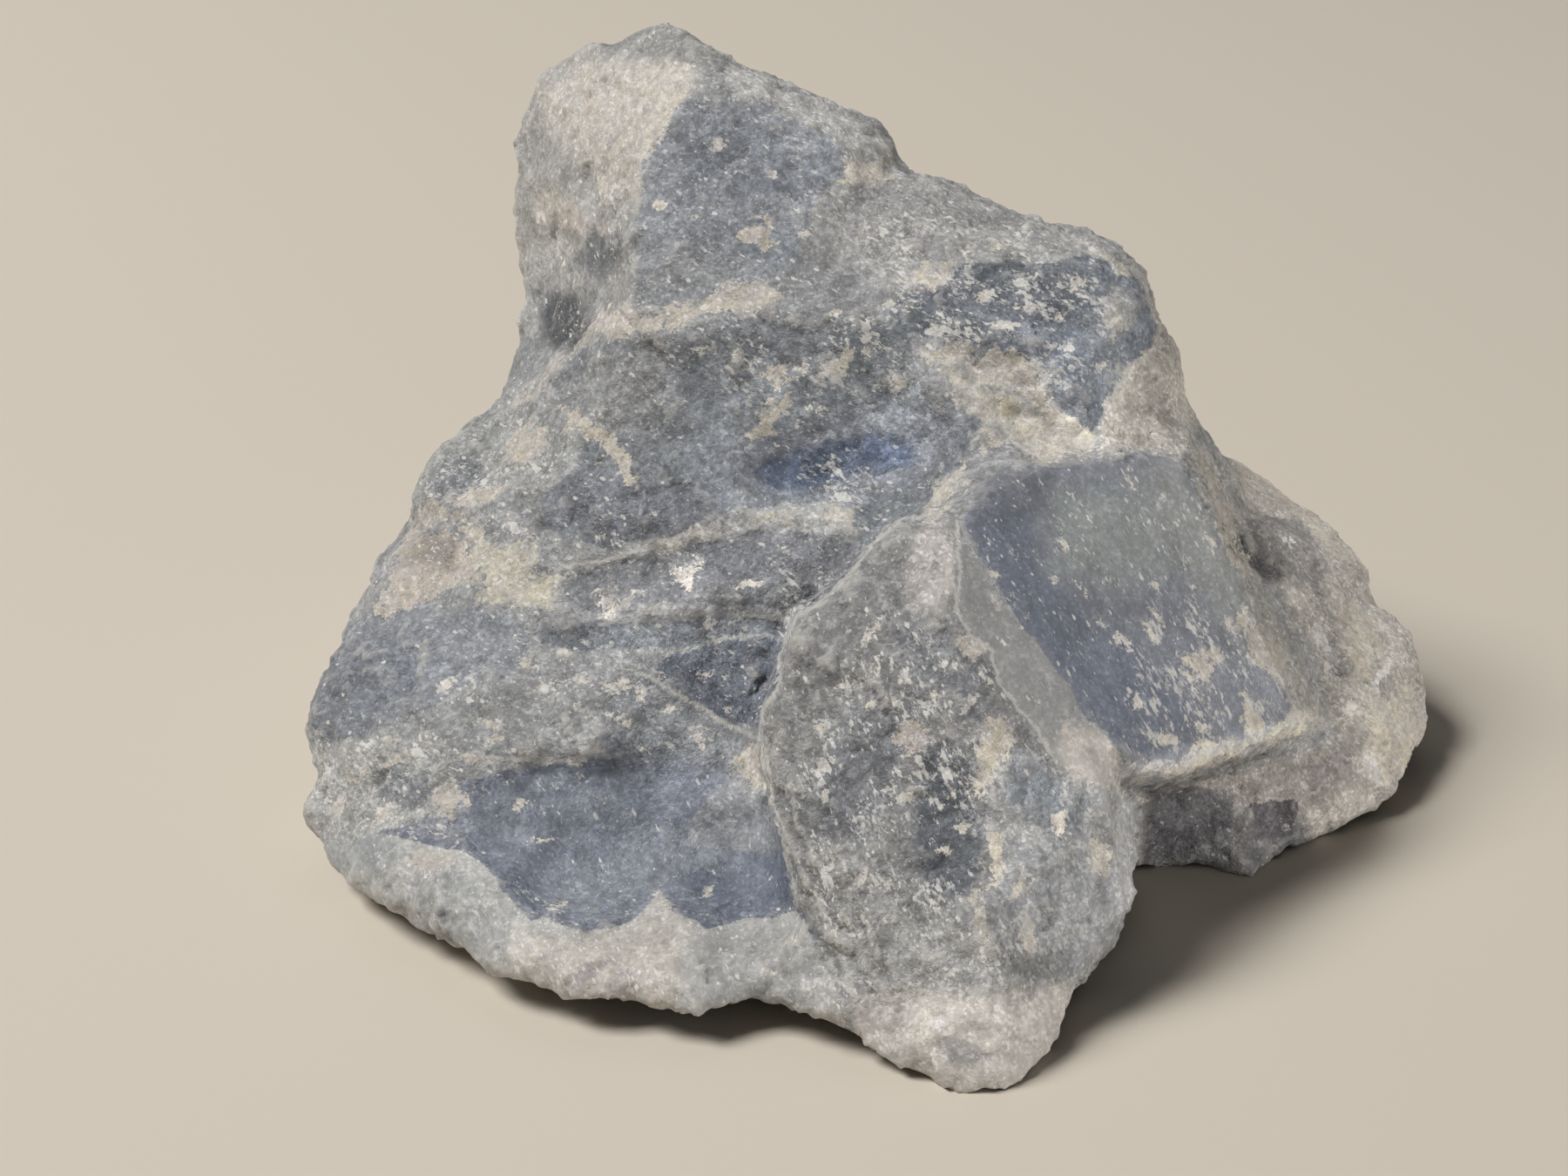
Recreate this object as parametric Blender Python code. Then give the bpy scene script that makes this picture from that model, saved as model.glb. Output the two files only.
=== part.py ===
"""Rough blue calcite: one broken lump of crystal, resting on a table, modelled as one solid.

The stone is seen by an eye EYE_DISTANCE away that looks down at EYE_ELEVATION. Its broken front is
built from corners placed by hand in that eye's view: millimetres across, millimetres up, and
millimetres nearer than the stone's middle. Its back, sides and underside are chunks of broken rock.
Metres, +Z up, the eye on the -Y side.
"""
import math

import bmesh
import bpy
from mathutils import Matrix, Vector, noise
from mathutils.geometry import delaunay_2d_cdt

MM = 0.001

STONE_WIDTH = 54.5 * MM

EYE_DISTANCE = 130.0
EYE_ELEVATION = math.radians(25.0)
SIGHT_HEIGHT = 12.4
FAR_SIDE = -70.0
NEAR_SIDE = 30.0

GRAIN_STEP = 0.42 * MM
LUMP_SIZE = 5.0 * MM
LUMP_DEPTH = 0.3 * MM
BREAK_SIZE = 3.4 * MM
BREAK_DEPTH = 1.05 * MM
CHIP_SIZE = 1.6 * MM
CHIP_DEPTH = 0.34 * MM
SEEN_SHARE = 0.7
BREAK_SEED = 11
FACET_LIMIT = 9500
REST_CUT = 0.2 * MM

STONE_BLUE = (0.235, 0.275, 0.33, 1.0)
STONE_ROUGHNESS = 0.62

# The rim of the stone as the eye sees it, clockwise from the peak: across, up, nearer.
RIM = [
    (-5.3, 25.8, -5.0), (-4.0, 25.2, -4.6), (-3.0, 24.5, -4.4), (-1.6, 23.9, -4.4),
    (-0.2, 23.1, -4.4), (1.5, 22.2, -4.5), (3.1, 21.5, -4.5), (4.5, 20.8, -4.5),
    (5.1, 20.0, -4.3), (4.7, 19.3, -4.2), (6.0, 18.9, -3.6), (7.6, 18.4, -3.2),
    (9.6, 17.4, -3.0), (11.0, 17.1, -2.8), (12.5, 16.5, -2.6), (14.2, 16.1, -2.6),
    (15.5, 15.3, -2.8), (16.4, 14.7, -3.0), (17.1, 13.3, -3.4), (17.8, 11.3, -3.8),
    (18.4, 9.1, -4.2), (18.8, 8.0, -4.6), (19.3, 7.3, -12.0), (20.0, 6.4, -12.5),
    (21.5, 5.4, -13.0), (23.2, 4.4, -13.0), (24.3, 3.7, -12.6), (25.4, 2.4, -12.4),
    (26.5, 1.3, -12.2), (26.8, 0.1, -11.8), (28.3, -1.9, -11.0), (29.2, -3.4, -10.4),
    (29.5, -5.0, -10.0), (29.6, -6.3, -8.8), (28.9, -8.4, -6.2), (28.0, -9.7, -4.8),
    (26.5, -10.6, -4.2), (24.6, -11.4, -3.0), (23.0, -12.5, -1.8), (21.8, -13.6, 0.1),
    (20.2, -13.4, -0.6), (17.5, -12.9, -0.8), (15.75, -12.6, -0.8), (16.0, -13.9, 10.5),
    (15.4, -15.6, 10.8), (14.3, -17.3, 11.4), (13.2, -18.7, 12.0), (12.9, -20.3, 12.6),
    (11.9, -21.7, 13.6), (10.9, -23.2, 14.8), (10.0, -23.8, 15.4), (9.2, -23.95, 15.7),
    (7.5, -23.6, 15.2), (6.6, -22.4, 14.8), (5.0, -21.9, 14.6), (3.4, -21.1, 14.2),
    (3.2, -20.0, 13.6), (1.5, -19.6, 13.3), (-0.2, -19.1, 12.7), (-1.6, -18.95, 12.3),
    (-3.8, -19.8, 13.2), (-6.0, -19.15, 12.5), (-8.0, -18.85, 12.1), (-9.8, -18.9, 12.1),
    (-11.8, -18.0, 11.0), (-13.6, -17.6, 10.4), (-15.4, -16.7, 8.8), (-17.5, -15.35, 6.6),
    (-19.3, -14.3, 4.8), (-20.4, -13.3, 3.0), (-21.0, -11.9, 1.6), (-22.1, -10.9, 0.6),
    (-22.2, -9.9, 0.2), (-21.4, -9.0, 0.6), (-21.9, -7.2, -0.4), (-21.9, -5.9, -0.8),
    (-21.0, -3.7, -1.6), (-19.9, -2.0, -2.4), (-18.8, 0.0, -3.2), (-17.8, 2.0, -4.0),
    (-16.9, 3.0, -4.6), (-17.2, 4.0, -5.0), (-16.4, 5.6, -5.6), (-14.9, 7.3, -6.2),
    (-13.5, 7.9, -7.6), (-12.5, 9.3, -10.0), (-12.2, 11.0, -11.4), (-11.8, 13.2, -12.0),
    (-11.9, 15.8, -12.0), (-12.6, 17.8, -12.0), (-12.4, 20.3, -11.6), (-12.0, 23.0, -11.0),
    (-11.0, 24.1, -9.8), (-9.3, 24.4, -8.2), (-7.5, 25.1, -6.4),
]

# Ridges, ledges and steps of the broken front, each a line of corners: across, up, nearer.
RIDGES = {
    "lobe ridge": [
        (-3.7, 23.6, -2.2), (-4.8, 22.4, -1.8), (-5.7, 21.2, -1.3), (-6.4, 19.4, -0.7),
        (-6.9, 17.0, -0.2), (-6.9, 15.0, 0.2), (-7.0, 12.8, 0.0),
    ],
    "lobe crest": [(-8.2, 23.4, -5.6), (-8.9, 20.6, -5.0), (-9.4, 17.4, -5.8), (-9.6, 14.2, -6.6)],
    "lobe foot upper": [(-12.0, 9.7, -9.4), (-10.6, 10.8, -7.6), (-8.6, 11.9, -4.0)],
    "lobe foot lower": [(-12.6, 8.5, -6.4), (-10.8, 10.0, -4.2), (-8.8, 11.2, -1.4), (-7.2, 11.7, 0.2)],
    "top strip": [
        (-2.5, 22.7, -2.0), (-0.5, 21.8, -2.1), (1.5, 20.9, -2.2), (2.8, 20.0, -2.3), (3.2, 19.2, -2.3),
    ],
    "head face": [(-1.5, 18.2, -0.6), (-2.6, 15.2, 0.3), (2.2, 16.4, -0.6), (3.6, 14.8, -0.2)],
    "head shelf upper": [
        (-5.8, 12.9, 0.6), (-3.6, 12.8, 1.0), (-1.0, 13.6, 0.8), (1.4, 13.2, 0.9), (4.2, 13.4, 0.9),
    ],
    "head shelf lower": [
        (-6.0, 12.1, 1.6), (-3.4, 11.7, 2.0), (-0.8, 12.5, 1.8), (1.8, 12.2, 1.9), (4.2, 12.4, 1.9),
    ],
    "shoulder upper": [(6.2, 16.6, -1.2), (9.2, 15.6, -0.6), (12.8, 15.2, -0.4), (15.2, 14.3, -0.6)],
    "shoulder corner": [(15.2, 14.3, -0.6), (16.3, 13.6, -1.0), (16.8, 11.0, -1.4), (17.3, 8.6, -1.8)],
    "shoulder lower": [
        (5.4, 12.4, 1.8), (8.4, 11.9, 2.2), (11.0, 11.2, 2.4), (12.6, 9.4, 2.4), (14.0, 7.6, 2.0),
    ],
    "vein top": [(6.1, 11.0, 1.9), (8.0, 11.0, 1.7), (9.4, 9.8, 1.4), (11.2, 9.9, 1.6), (12.2, 8.4, 1.6)],
    "vein bottom": [
        (6.2, 10.0, 2.8), (7.1, 8.8, 3.0), (8.4, 7.8, 3.1), (8.9, 6.3, 3.6), (10.6, 6.7, 2.2),
        (13.6, 6.5, 1.2),
    ],
    "deep hollow top": [(-1.6, 8.2, 1.4), (0.6, 8.8, 1.2), (3.4, 9.0, 1.0), (5.6, 9.2, 1.4)],
    "deep hollow": [(-2.6, 5.8, 1.2), (0.0, 5.2, 0.6), (3.0, 5.6, 0.5), (5.8, 6.2, 0.8), (7.8, 6.6, 1.8)],
    "deep hollow foot": [(-0.6, 4.2, 1.4), (2.2, 4.0, 1.5), (4.6, 3.9, 1.8), (6.4, 4.2, 2.4)],
    "left shelf": [
        (-14.0, 5.0, -3.8), (-11.6, 6.8, -2.2), (-9.4, 7.6, -0.6), (-7.6, 6.2, 0.8), (-7.0, 4.6, 1.6),
    ],
    "left shelf step": [(-14.6, 3.4, -2.2), (-12.4, 4.4, -1.0), (-10.0, 4.6, 0.4), (-8.6, 3.4, 1.4)],
    "first ledge top": [
        (-11.0, 1.6, 0.7), (-9.0, 1.5, 1.7), (-7.0, 2.1, 2.1), (-5.0, 2.6, 2.4), (-3.4, 2.9, 2.6),
        (-2.0, 3.3, 2.6), (0.0, 3.7, 2.4), (2.0, 3.6, 2.5), (3.4, 2.9, 2.8),
    ],
    "first ledge foot": [
        (-11.0, 0.7, 0.5), (-9.0, 0.6, 1.1), (-7.0, 1.2, 1.5), (-5.0, 1.7, 1.9), (-3.2, 2.0, 2.1),
        (-1.6, 2.4, 2.1), (0.2, 2.8, 2.1), (2.0, 2.8, 2.4),
    ],
    "shin knob": [(-15.6, 1.0, -1.6), (-13.6, 0.6, 0.2), (-12.2, 0.4, 1.0), (-10.9, -0.6, 1.4)],
    "third ledge top": [
        (-11.4, -1.2, 2.0), (-8.0, -1.2, 3.0), (-6.0, -0.9, 3.4), (-3.0, -0.7, 3.6), (-0.4, -0.7, 3.6),
    ],
    "third ledge foot": [
        (-11.4, -2.0, 2.0), (-8.0, -2.1, 2.5), (-6.0, -1.9, 2.8), (-3.0, -1.7, 3.0), (-0.6, -1.6, 3.1),
    ],
    "pocket rim": [
        (-7.2, -3.6, 3.8), (-6.0, -4.2, 4.2), (-4.6, -5.0, 4.6), (-3.0, -6.1, 5.0), (-1.8, -6.5, 5.0),
    ],
    "pocket floor": [(-5.4, -3.3, 2.8), (-3.6, -3.6, 2.8), (-2.2, -4.4, 3.2), (-1.2, -5.4, 3.8)],
    "left hump": [
        (-19.2, -3.6, 0.6), (-17.4, -5.0, 2.0), (-14.6, -5.4, 3.0), (-11.4, -5.2, 4.0),
        (-9.0, -5.6, 4.6),
    ],
    "left brow": [
        (-20.4, -7.4, 1.8), (-17.8, -7.6, 3.2), (-14.8, -7.6, 4.6), (-11.2, -7.6, 5.4),
        (-8.4, -7.2, 5.7),
    ],
    "pool back": [
        (-15.2, -9.0, 4.4), (-13.8, -8.6, 4.4), (-10.0, -8.3, 4.5), (-6.0, -7.8, 4.8),
        (-2.8, -8.4, 5.4),
    ],
    "pool floor": [(-13.6, -11.4, 5.2), (-10.4, -11.8, 5.2), (-7.0, -11.2, 5.0), (-4.4, -11.0, 5.3)],
    "pool front": [(-11.4, -14.0, 7.0), (-8.4, -14.2, 6.8), (-5.4, -13.2, 6.4), (-2.0, -13.6, 6.8)],
    "pool rib": [(-4.0, -10.0, 5.8), (-2.2, -9.4, 6.2), (-0.9, -9.2, 6.6)],
    "lip top": [
        (-19.4, -10.6, 3.2), (-18.2, -11.2, 4.6), (-16.5, -11.8, 6.0), (-14.8, -12.1, 7.0),
        (-13.4, -13.0, 8.0), (-12.3, -14.5, 9.2), (-11.4, -15.2, 9.6), (-9.4, -15.7, 9.9),
        (-7.4, -15.3, 9.6), (-5.8, -14.3, 9.0), (-4.6, -15.1, 9.7), (-3.2, -15.7, 10.1),
        (-1.4, -15.2, 9.9), (0.3, -15.0, 10.0),
    ],
    "lip belly": [
        (-19.2, -12.6, 4.8), (-16.6, -13.9, 7.4), (-14.0, -15.4, 9.4), (-11.0, -16.9, 11.4),
        (-7.6, -17.2, 11.8), (-4.2, -17.6, 12.2), (-1.0, -17.4, 12.2), (1.6, -17.6, 12.8),
    ],
    "wedge edge": [
        (7.0, 3.5, 7.4), (5.5, 3.1, 7.6), (4.4, 2.0, 8.0), (3.3, 0.9, 8.4), (2.5, 0.0, 8.8),
        (1.5, -0.9, 9.4), (0.7, -1.4, 9.8), (0.2, -2.7, 10.2), (-0.1, -4.0, 10.4), (-0.7, -5.4, 10.6),
        (-1.0, -6.8, 10.8), (-0.6, -8.9, 11.2), (-0.3, -10.4, 11.6), (0.2, -12.0, 12.0),
        (0.6, -14.0, 12.4),
    ],
    "wedge step": [
        (6.9, 3.95, 3.0), (5.3, 3.5, 2.8), (4.1, 2.35, 3.0), (3.0, 1.2, 3.4), (2.2, 0.3, 3.6),
        (1.2, -0.6, 3.8), (0.35, -1.2, 4.0), (-0.15, -2.6, 4.2), (-0.5, -4.0, 4.4), (-1.1, -5.3, 4.6),
        (-1.45, -6.8, 5.2), (-1.05, -8.8, 6.4), (-0.75, -10.4, 7.0), (-0.3, -12.1, 7.6),
        (0.15, -14.0, 9.0),
    ],
    "wedge root": [(0.6, -14.0, 12.4), (1.6, -16.0, 12.8), (2.6, -18.2, 13.4), (3.3, -19.6, 13.8)],
    "wedge crest": [
        (6.6, 1.8, 9.4), (7.2, -0.6, 10.8), (8.0, -3.0, 11.6), (9.0, -8.0, 12.8), (9.5, -12.0, 13.6),
        (9.0, -15.0, 14.4), (9.7, -17.4, 14.8), (9.4, -21.4, 15.5),
    ],
    "wedge belly": [
        (3.6, -3.2, 10.8), (3.4, -7.2, 11.6), (4.0, -11.4, 12.6), (4.8, -15.0, 13.4),
        (5.8, -18.6, 14.2),
    ],
    "lens hollow": [(6.6, -7.4, 11.7), (7.6, -9.6, 12.2), (7.8, -12.4, 12.8), (6.8, -14.2, 13.3)],
    "wedge bevel": [
        (8.0, 2.2, 9.0), (7.9, 0.4, 10.2), (8.0, -1.2, 10.9), (9.0, -2.9, 11.2), (9.6, -4.5, 11.3),
        (11.0, -6.2, 11.4), (12.2, -7.9, 11.4), (13.6, -8.6, 11.2), (14.9, -9.5, 10.8),
    ],
    "wedge flank": [(14.9, -9.5, 10.8), (15.3, -10.8, 10.9), (15.5, -12.4, 10.9)],
    "wedge flank back": [(15.5, -9.2, 4.0), (15.75, -10.8, 1.2)],
    "right slope": [(12.4, -11.0, 12.2), (12.8, -14.2, 12.3), (11.9, -17.6, 13.0), (11.6, -20.4, 13.9)],
    "window left": [
        (8.1, 2.7, 8.4), (9.0, 1.3, 9.0), (10.0, 0.0, 9.4), (11.1, -1.7, 9.8), (12.1, -3.1, 10.0),
        (13.1, -4.4, 10.1), (13.9, -5.9, 10.1), (14.9, -7.0, 9.8), (15.6, -8.3, 9.6),
    ],
    "window top": [
        (8.1, 2.7, 8.4), (8.5, 4.0, 7.2), (9.4, 4.9, 6.2), (10.8, 5.6, 5.4), (13.2, 5.6, 4.2),
        (16.0, 6.1, 2.6), (18.0, 5.9, 1.5),
    ],
    "window sill top": [
        (8.2, 4.9, 4.2), (9.3, 5.8, 3.8), (13.2, 6.2, 2.4), (16.0, 6.7, 1.2), (18.2, 6.5, 0.2),
    ],
    "window right": [
        (18.0, 5.9, 1.5), (19.0, 4.6, 1.4), (20.0, 3.2, 1.3), (20.6, 1.4, 1.6), (21.2, -0.2, 1.9),
        (22.4, -2.5, 2.0), (23.3, -4.2, 2.0), (24.0, -6.2, 1.8),
    ],
    "window foot": [
        (24.0, -6.2, 1.8), (22.2, -7.1, 3.4), (20.1, -7.9, 5.2), (18.0, -8.5, 7.2), (15.6, -8.3, 9.6),
    ],
    "under window": [
        (24.3, -6.8, -3.0), (22.4, -7.7, -1.6), (20.2, -8.5, -0.6), (18.1, -9.1, 0.4),
        (16.2, -9.4, 1.6),
    ],
    "right seam": [
        (19.3, 6.0, -3.0), (20.0, 4.6, -4.0), (20.8, 3.0, -4.4), (21.8, 1.4, -4.4), (22.6, -0.6, -4.2),
        (23.6, -2.6, -4.0), (24.6, -4.6, -4.0), (25.0, -6.4, -4.2),
    ],
    "rear lump crest": [
        (21.2, 4.6, -9.6), (23.6, 2.4, -8.2), (25.2, -0.6, -7.0), (26.6, -3.6, -6.0),
        (27.4, -6.6, -4.8),
    ],
    "rear lump foot": [
        (26.4, -8.8, -3.2), (24.4, -9.6, -2.2), (22.0, -10.6, -1.0), (19.2, -11.0, -0.4),
        (17.0, -11.2, 0.2),
    ],
}

# Single high or low corners between the ridges.
BUMPS = [
    (-10.4, 21.8, -7.6), (-10.9, 16.0, -9.2), (-4.2, 19.0, -0.9), (0.6, 19.4, -1.3), (-4.4, 16.4, 0.1),
    (8.2, 13.6, 0.9), (11.8, 13.2, 0.7), (14.6, 11.2, 0.6), (15.8, 8.4, 0.2), (-4.2, 9.6, 1.3),
    (-7.4, 9.4, 0.6), (2.4, 10.6, 1.8), (-5.0, 6.8, 1.6), (-13.6, 6.2, -4.6), (-17.2, 1.2, -2.4),
    (-16.2, -1.8, -0.2), (-13.2, -2.6, 2.0), (-8.8, -3.4, 3.2), (-4.6, 0.4, 2.7), (0.8, 1.2, 2.8),
    (-19.8, -5.4, 0.6), (-18.6, -9.4, 2.8), (-16.6, -9.8, 3.8), (-5.6, -9.6, 5.0), (-2.4, -11.6, 5.9),
    (5.2, 0.2, 9.4), (2.2, -4.8, 10.7), (6.0, -5.0, 11.5), (11.4, -9.4, 12.1), (6.6, -20.6, 14.9),
    (9.4, -19.4, 15.3), (14.2, 1.6, 6.0), (17.6, -2.6, 5.2), (20.2, -5.4, 4.6), (25.6, 1.4, -9.8),
    (28.0, -4.6, -7.8), (20.4, -12.2, -0.4),
]


def sighted(across, up, nearer):
    """The world place of a point that the eye sees at (across, up), so many millimetres nearer."""
    shrink = 1.0 - nearer / EYE_DISTANCE
    side = across * shrink
    rise = up * shrink
    x = side
    y = rise * math.sin(EYE_ELEVATION) - nearer * math.cos(EYE_ELEVATION)
    z = rise * math.cos(EYE_ELEVATION) + nearer * math.sin(EYE_ELEVATION) + SIGHT_HEIGHT
    return Vector((x, y, z)) * MM


def start_clean():
    """Empties the file of every object it opened with."""
    for thing in list(bpy.data.objects):
        bpy.data.objects.remove(thing, do_unlink=True)


def new_object(name, shape):
    """A new object in the scene that holds the given shape."""
    mesh = bpy.data.meshes.new(name)
    shape.to_mesh(mesh)
    shape.free()
    thing = bpy.data.objects.new(name, mesh)
    bpy.context.collection.objects.link(thing)
    return thing


def broken_front():
    """The broken front of the stone, carried straight back along the eye's lines of sight."""
    corners = list(RIM)
    lines = [(i, (i + 1) % len(RIM)) for i in range(len(RIM))]
    for ridge in RIDGES.values():
        first = len(corners)
        corners.extend(ridge)
        lines.extend((first + i, first + i + 1) for i in range(len(ridge) - 1))
    corners.extend(BUMPS)
    flat = [Vector((across, up)) for across, up, _ in corners]
    found, _, faces, came_from, _, _ = delaunay_2d_cdt(flat, lines, [list(range(len(RIM)))], 1, 0.01)
    nearness = []
    for place, sources in zip(found, came_from):
        if sources:
            nearness.append(corners[sources[0]][2])
            continue
        near = sorted((place - other).length for other in flat)
        reach = near[2] + 0.01
        chosen = [c for c, other in zip(corners, flat) if (place - other).length < reach]
        nearness.append(sum(c[2] for c in chosen) / len(chosen))
    shape = bmesh.new()
    front = [shape.verts.new(sighted(p.x, p.y, t)) for p, t in zip(found, nearness)]
    back = [shape.verts.new(sighted(p.x, p.y, FAR_SIDE)) for p in found]
    sides = {}
    for face in faces:
        shape.faces.new([front[i] for i in face])
        shape.faces.new([back[i] for i in reversed(face)])
        for a, b in zip(face, list(face[1:]) + [face[0]]):
            sides[(a, b)] = True
    for a, b in sides:
        if (b, a) not in sides:
            shape.faces.new([front[b], front[a], back[a], back[b]])
    bmesh.ops.recalc_face_normals(shape, faces=shape.faces)
    return new_object("broken_front", shape)


# Each chunk of the body: the rim it has in the eye's view, then its hidden back and base corners.
CHUNKS = {
    "head": (
        [
            (-12.8, 17.8, -12.0), (-12.6, 21.5, -11.5), (-11.2, 24.3, -10.0), (-7.6, 25.4, -6.8),
            (-5.3, 26.1, -5.4), (-1.4, 24.2, -5.0), (4.9, 21.2, -5.2), (10.6, 17.6, -4.2),
            (15.0, 16.0, -3.8), (17.0, 14.8, -4.2), (18.4, 11.0, -5.2), (19.2, 7.6, -6.4),
            (-12.6, 8.0, -12.6), (-14.0, 0.0, -12.0), (19.6, 0.0, -5.0),
        ],
        [
            (-10.6, 22.4, -14.6), (-6.2, 23.8, -12.4), (1.4, 20.8, -13.6), (9.0, 15.6, -12.8),
            (15.0, 12.0, -12.4), (-10.8, 13.6, -19.6), (-3.0, 16.4, -21.4), (6.6, 13.0, -20.6),
            (14.6, 8.0, -18.2), (-12.4, 4.6, -20.4), (-5.0, 7.2, -27.2), (5.4, 6.0, -26.4),
            (15.2, 2.2, -21.6), (-11.0, -3.4, -21.8), (-2.4, 0.4, -30.4), (8.6, -0.6, -29.0),
            (14.4, -3.2, -22.4), (-9.0, -12.0, -4.0), (9.0, -12.0, -6.0),
        ],
    ),
    "left side": (
        [
            (-13.0, 8.4, -8.0), (-16.6, 6.2, -7.0), (-17.6, 3.4, -6.0), (-20.4, -2.0, -4.2),
            (-22.2, -5.6, -2.4), (-22.4, -8.0, -1.4), (-22.5, -10.6, -0.6), (-20.8, -13.4, 2.2),
            (-17.6, -15.7, 6.0), (-13.8, -17.9, 9.9), (-9.6, -19.2, 12.0), (-4.0, -20.1, 13.3),
            (3.2, -20.6, 13.8), (8.0, 6.0, 2.0), (10.0, -16.0, 10.0),
        ],
        [
            (-12.4, 6.0, -16.4), (-16.8, 1.0, -13.6), (-19.4, -3.8, -10.2), (-20.2, -8.4, -5.6),
            (-18.2, -8.6, -9.8), (-14.0, -4.6, -19.0), (-17.4, -12.6, -0.4), (-11.6, -14.6, 1.6),
            (-5.0, -16.0, 5.0), (2.0, -15.6, 4.0), (0.0, -6.0, -14.0),
        ],
    ),
    "wedge": (
        [
            (7.0, 4.4, 5.0), (1.2, -0.4, 8.0), (-1.6, -6.8, 9.0), (0.0, -14.0, 10.0), (3.2, -20.6, 13.4),
            (6.6, -22.9, 15.0), (9.2, -24.3, 15.9), (10.8, -23.6, 14.8), (13.2, -20.0, 12.0),
            (15.6, -15.8, 10.2), (16.2, -13.8, 9.8), (16.1, -9.6, 8.8), (24.3, -6.4, 1.4),
            (21.6, 0.0, 1.6), (18.4, 6.4, 0.8),
        ],
        [
            (6.0, 4.0, -6.0), (18.6, 4.4, -6.0), (22.6, -4.4, -5.0), (20.4, -8.0, -4.4),
            (15.2, -10.6, 1.6), (14.2, -13.2, 4.4), (11.2, -17.6, 7.2), (8.8, -21.0, 11.2),
            (4.6, -18.6, 8.8), (2.0, -16.0, 3.0), (4.0, -9.0, -8.0), (16.0, -7.0, -9.0),
        ],
    ),
    "rear lump": (
        [
            (18.8, 7.8, -13.0), (21.6, 5.6, -13.6), (24.6, 3.8, -13.2), (27.0, 0.4, -12.4),
            (29.2, -2.9, -11.2), (29.9, -5.4, -10.2), (29.8, -6.8, -9.0), (28.6, -9.6, -5.8),
            (26.4, -10.9, -4.4), (22.0, -14.0, -0.2), (17.4, -13.3, -1.0), (15.4, -12.8, -1.4),
            (14.0, 0.0, -6.0),
        ],
        [
            (16.4, 4.4, -21.0), (20.6, 2.6, -20.6), (24.4, 0.2, -18.8), (27.2, -3.0, -15.4),
            (27.6, -6.4, -11.8), (25.0, -8.6, -9.2), (19.8, -4.6, -18.2), (22.4, -6.6, -13.8),
            (13.0, -9.0, -9.0), (12.0, 2.0, -16.0),
        ],
    ),
}


def chunk(name, rim, hidden):
    """One convex chunk of rock: its rim, the same rim brought nearer to the eye, and its hidden corners."""
    shape = bmesh.new()
    for across, up, nearer in rim:
        shape.verts.new(sighted(across, up, nearer))
        shape.verts.new(sighted(across, up, NEAR_SIDE))
    for across, up, nearer in hidden:
        shape.verts.new(sighted(across, up, nearer))
    hull = bmesh.ops.convex_hull(shape, input=shape.verts)
    spare = [e for e in hull["geom_interior"] if isinstance(e, bmesh.types.BMVert)]
    bmesh.ops.delete(shape, geom=spare, context="VERTS")
    bmesh.ops.recalc_face_normals(shape, faces=shape.faces)
    return new_object(name, shape)


def combine(target, tool, operation):
    """Joins, cuts or crosses two closed solids, and removes the tool."""
    modifier = target.modifiers.new(operation.lower(), "BOOLEAN")
    modifier.operation = operation
    modifier.solver = "EXACT"
    modifier.object = tool
    settle(target)
    bpy.data.objects.remove(tool, do_unlink=True)


def settle(thing):
    """Turns an object's modifiers into plain mesh."""
    graph = bpy.context.evaluated_depsgraph_get()
    made = bpy.data.meshes.new_from_object(thing.evaluated_get(graph))
    old = thing.data
    thing.modifiers.clear()
    thing.data = made
    bpy.data.meshes.remove(old)


def scoop(name, centre, radii, turn):
    """A shell-shaped hollow, as a blow leaves in crystal: an egg that is cut away."""
    shape = bmesh.new()
    bmesh.ops.create_icosphere(shape, subdivisions=3, radius=1.0)
    size = Matrix.Diagonal((radii[0] * MM, radii[1] * MM, radii[2] * MM, 1.0))
    lean = Matrix.Rotation(math.radians(turn[1]), 4, "Y") @ Matrix.Rotation(math.radians(turn[0]), 4, "X")
    spin = Matrix.Rotation(math.radians(turn[2]), 4, "Z")
    place = Matrix.Translation(Vector(centre) * MM)
    bmesh.ops.transform(shape, matrix=place @ spin @ lean @ size, verts=shape.verts)
    return new_object(name, shape)


def cleavage_step(name, corner, spin, lean, size):
    """A slanted block of the crystal's own form, its faces 75 and 105 degrees apart, that is cut away."""
    shape = bmesh.new()
    bmesh.ops.create_cube(shape, size=1.0)
    skew = math.tan(math.radians(15.0))
    slant = Matrix.Identity(4)
    slant[0][1] = skew
    slant[0][2] = skew
    slant[1][2] = skew
    bulk = Matrix.Diagonal((size[0] * MM, size[1] * MM, size[2] * MM, 1.0))
    turn = Matrix.Rotation(math.radians(spin), 4, "Z") @ Matrix.Rotation(math.radians(lean), 4, "X")
    place = Matrix.Translation(Vector(corner) * MM)
    bmesh.ops.transform(shape, matrix=place @ turn @ slant @ bulk, verts=shape.verts)
    bmesh.ops.recalc_face_normals(shape, faces=shape.faces)
    return new_object(name, shape)


# Hollows of the back, the sides and the underside: place, radii, turns about X, Y and Z.
SCOOPS = {
    "back hollow": ((-7.0, 41.0, 20.0), (15.0, 19.0, 12.0), (8.0, 22.0, 10.0)),
    "back low hollow": ((11.0, 41.0, 8.0), (14.0, 17.0, 9.0), (0.0, -24.0, -14.0)),
    "right hollow": ((30.0, 21.5, 22.0), (11.0, 10.0, 8.5), (10.0, 0.0, 30.0)),
    "left neck hollow": ((-25.5, 14.0, 15.0), (8.5, 10.0, 7.0), (0.0, 20.0, -20.0)),
    "left foot hollow": ((-24.5, 7.5, -1.5), (7.5, 9.0, 6.5), (0.0, 0.0, 30.0)),
    "front arch": ((6.0, -15.0, -6.5), (12.0, 9.5, 8.5), (0.0, 0.0, 0.0)),
    "lip arch": ((-8.0, -13.0, -6.0), (13.0, 9.0, 7.2), (0.0, 0.0, -22.0)),
}

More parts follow.
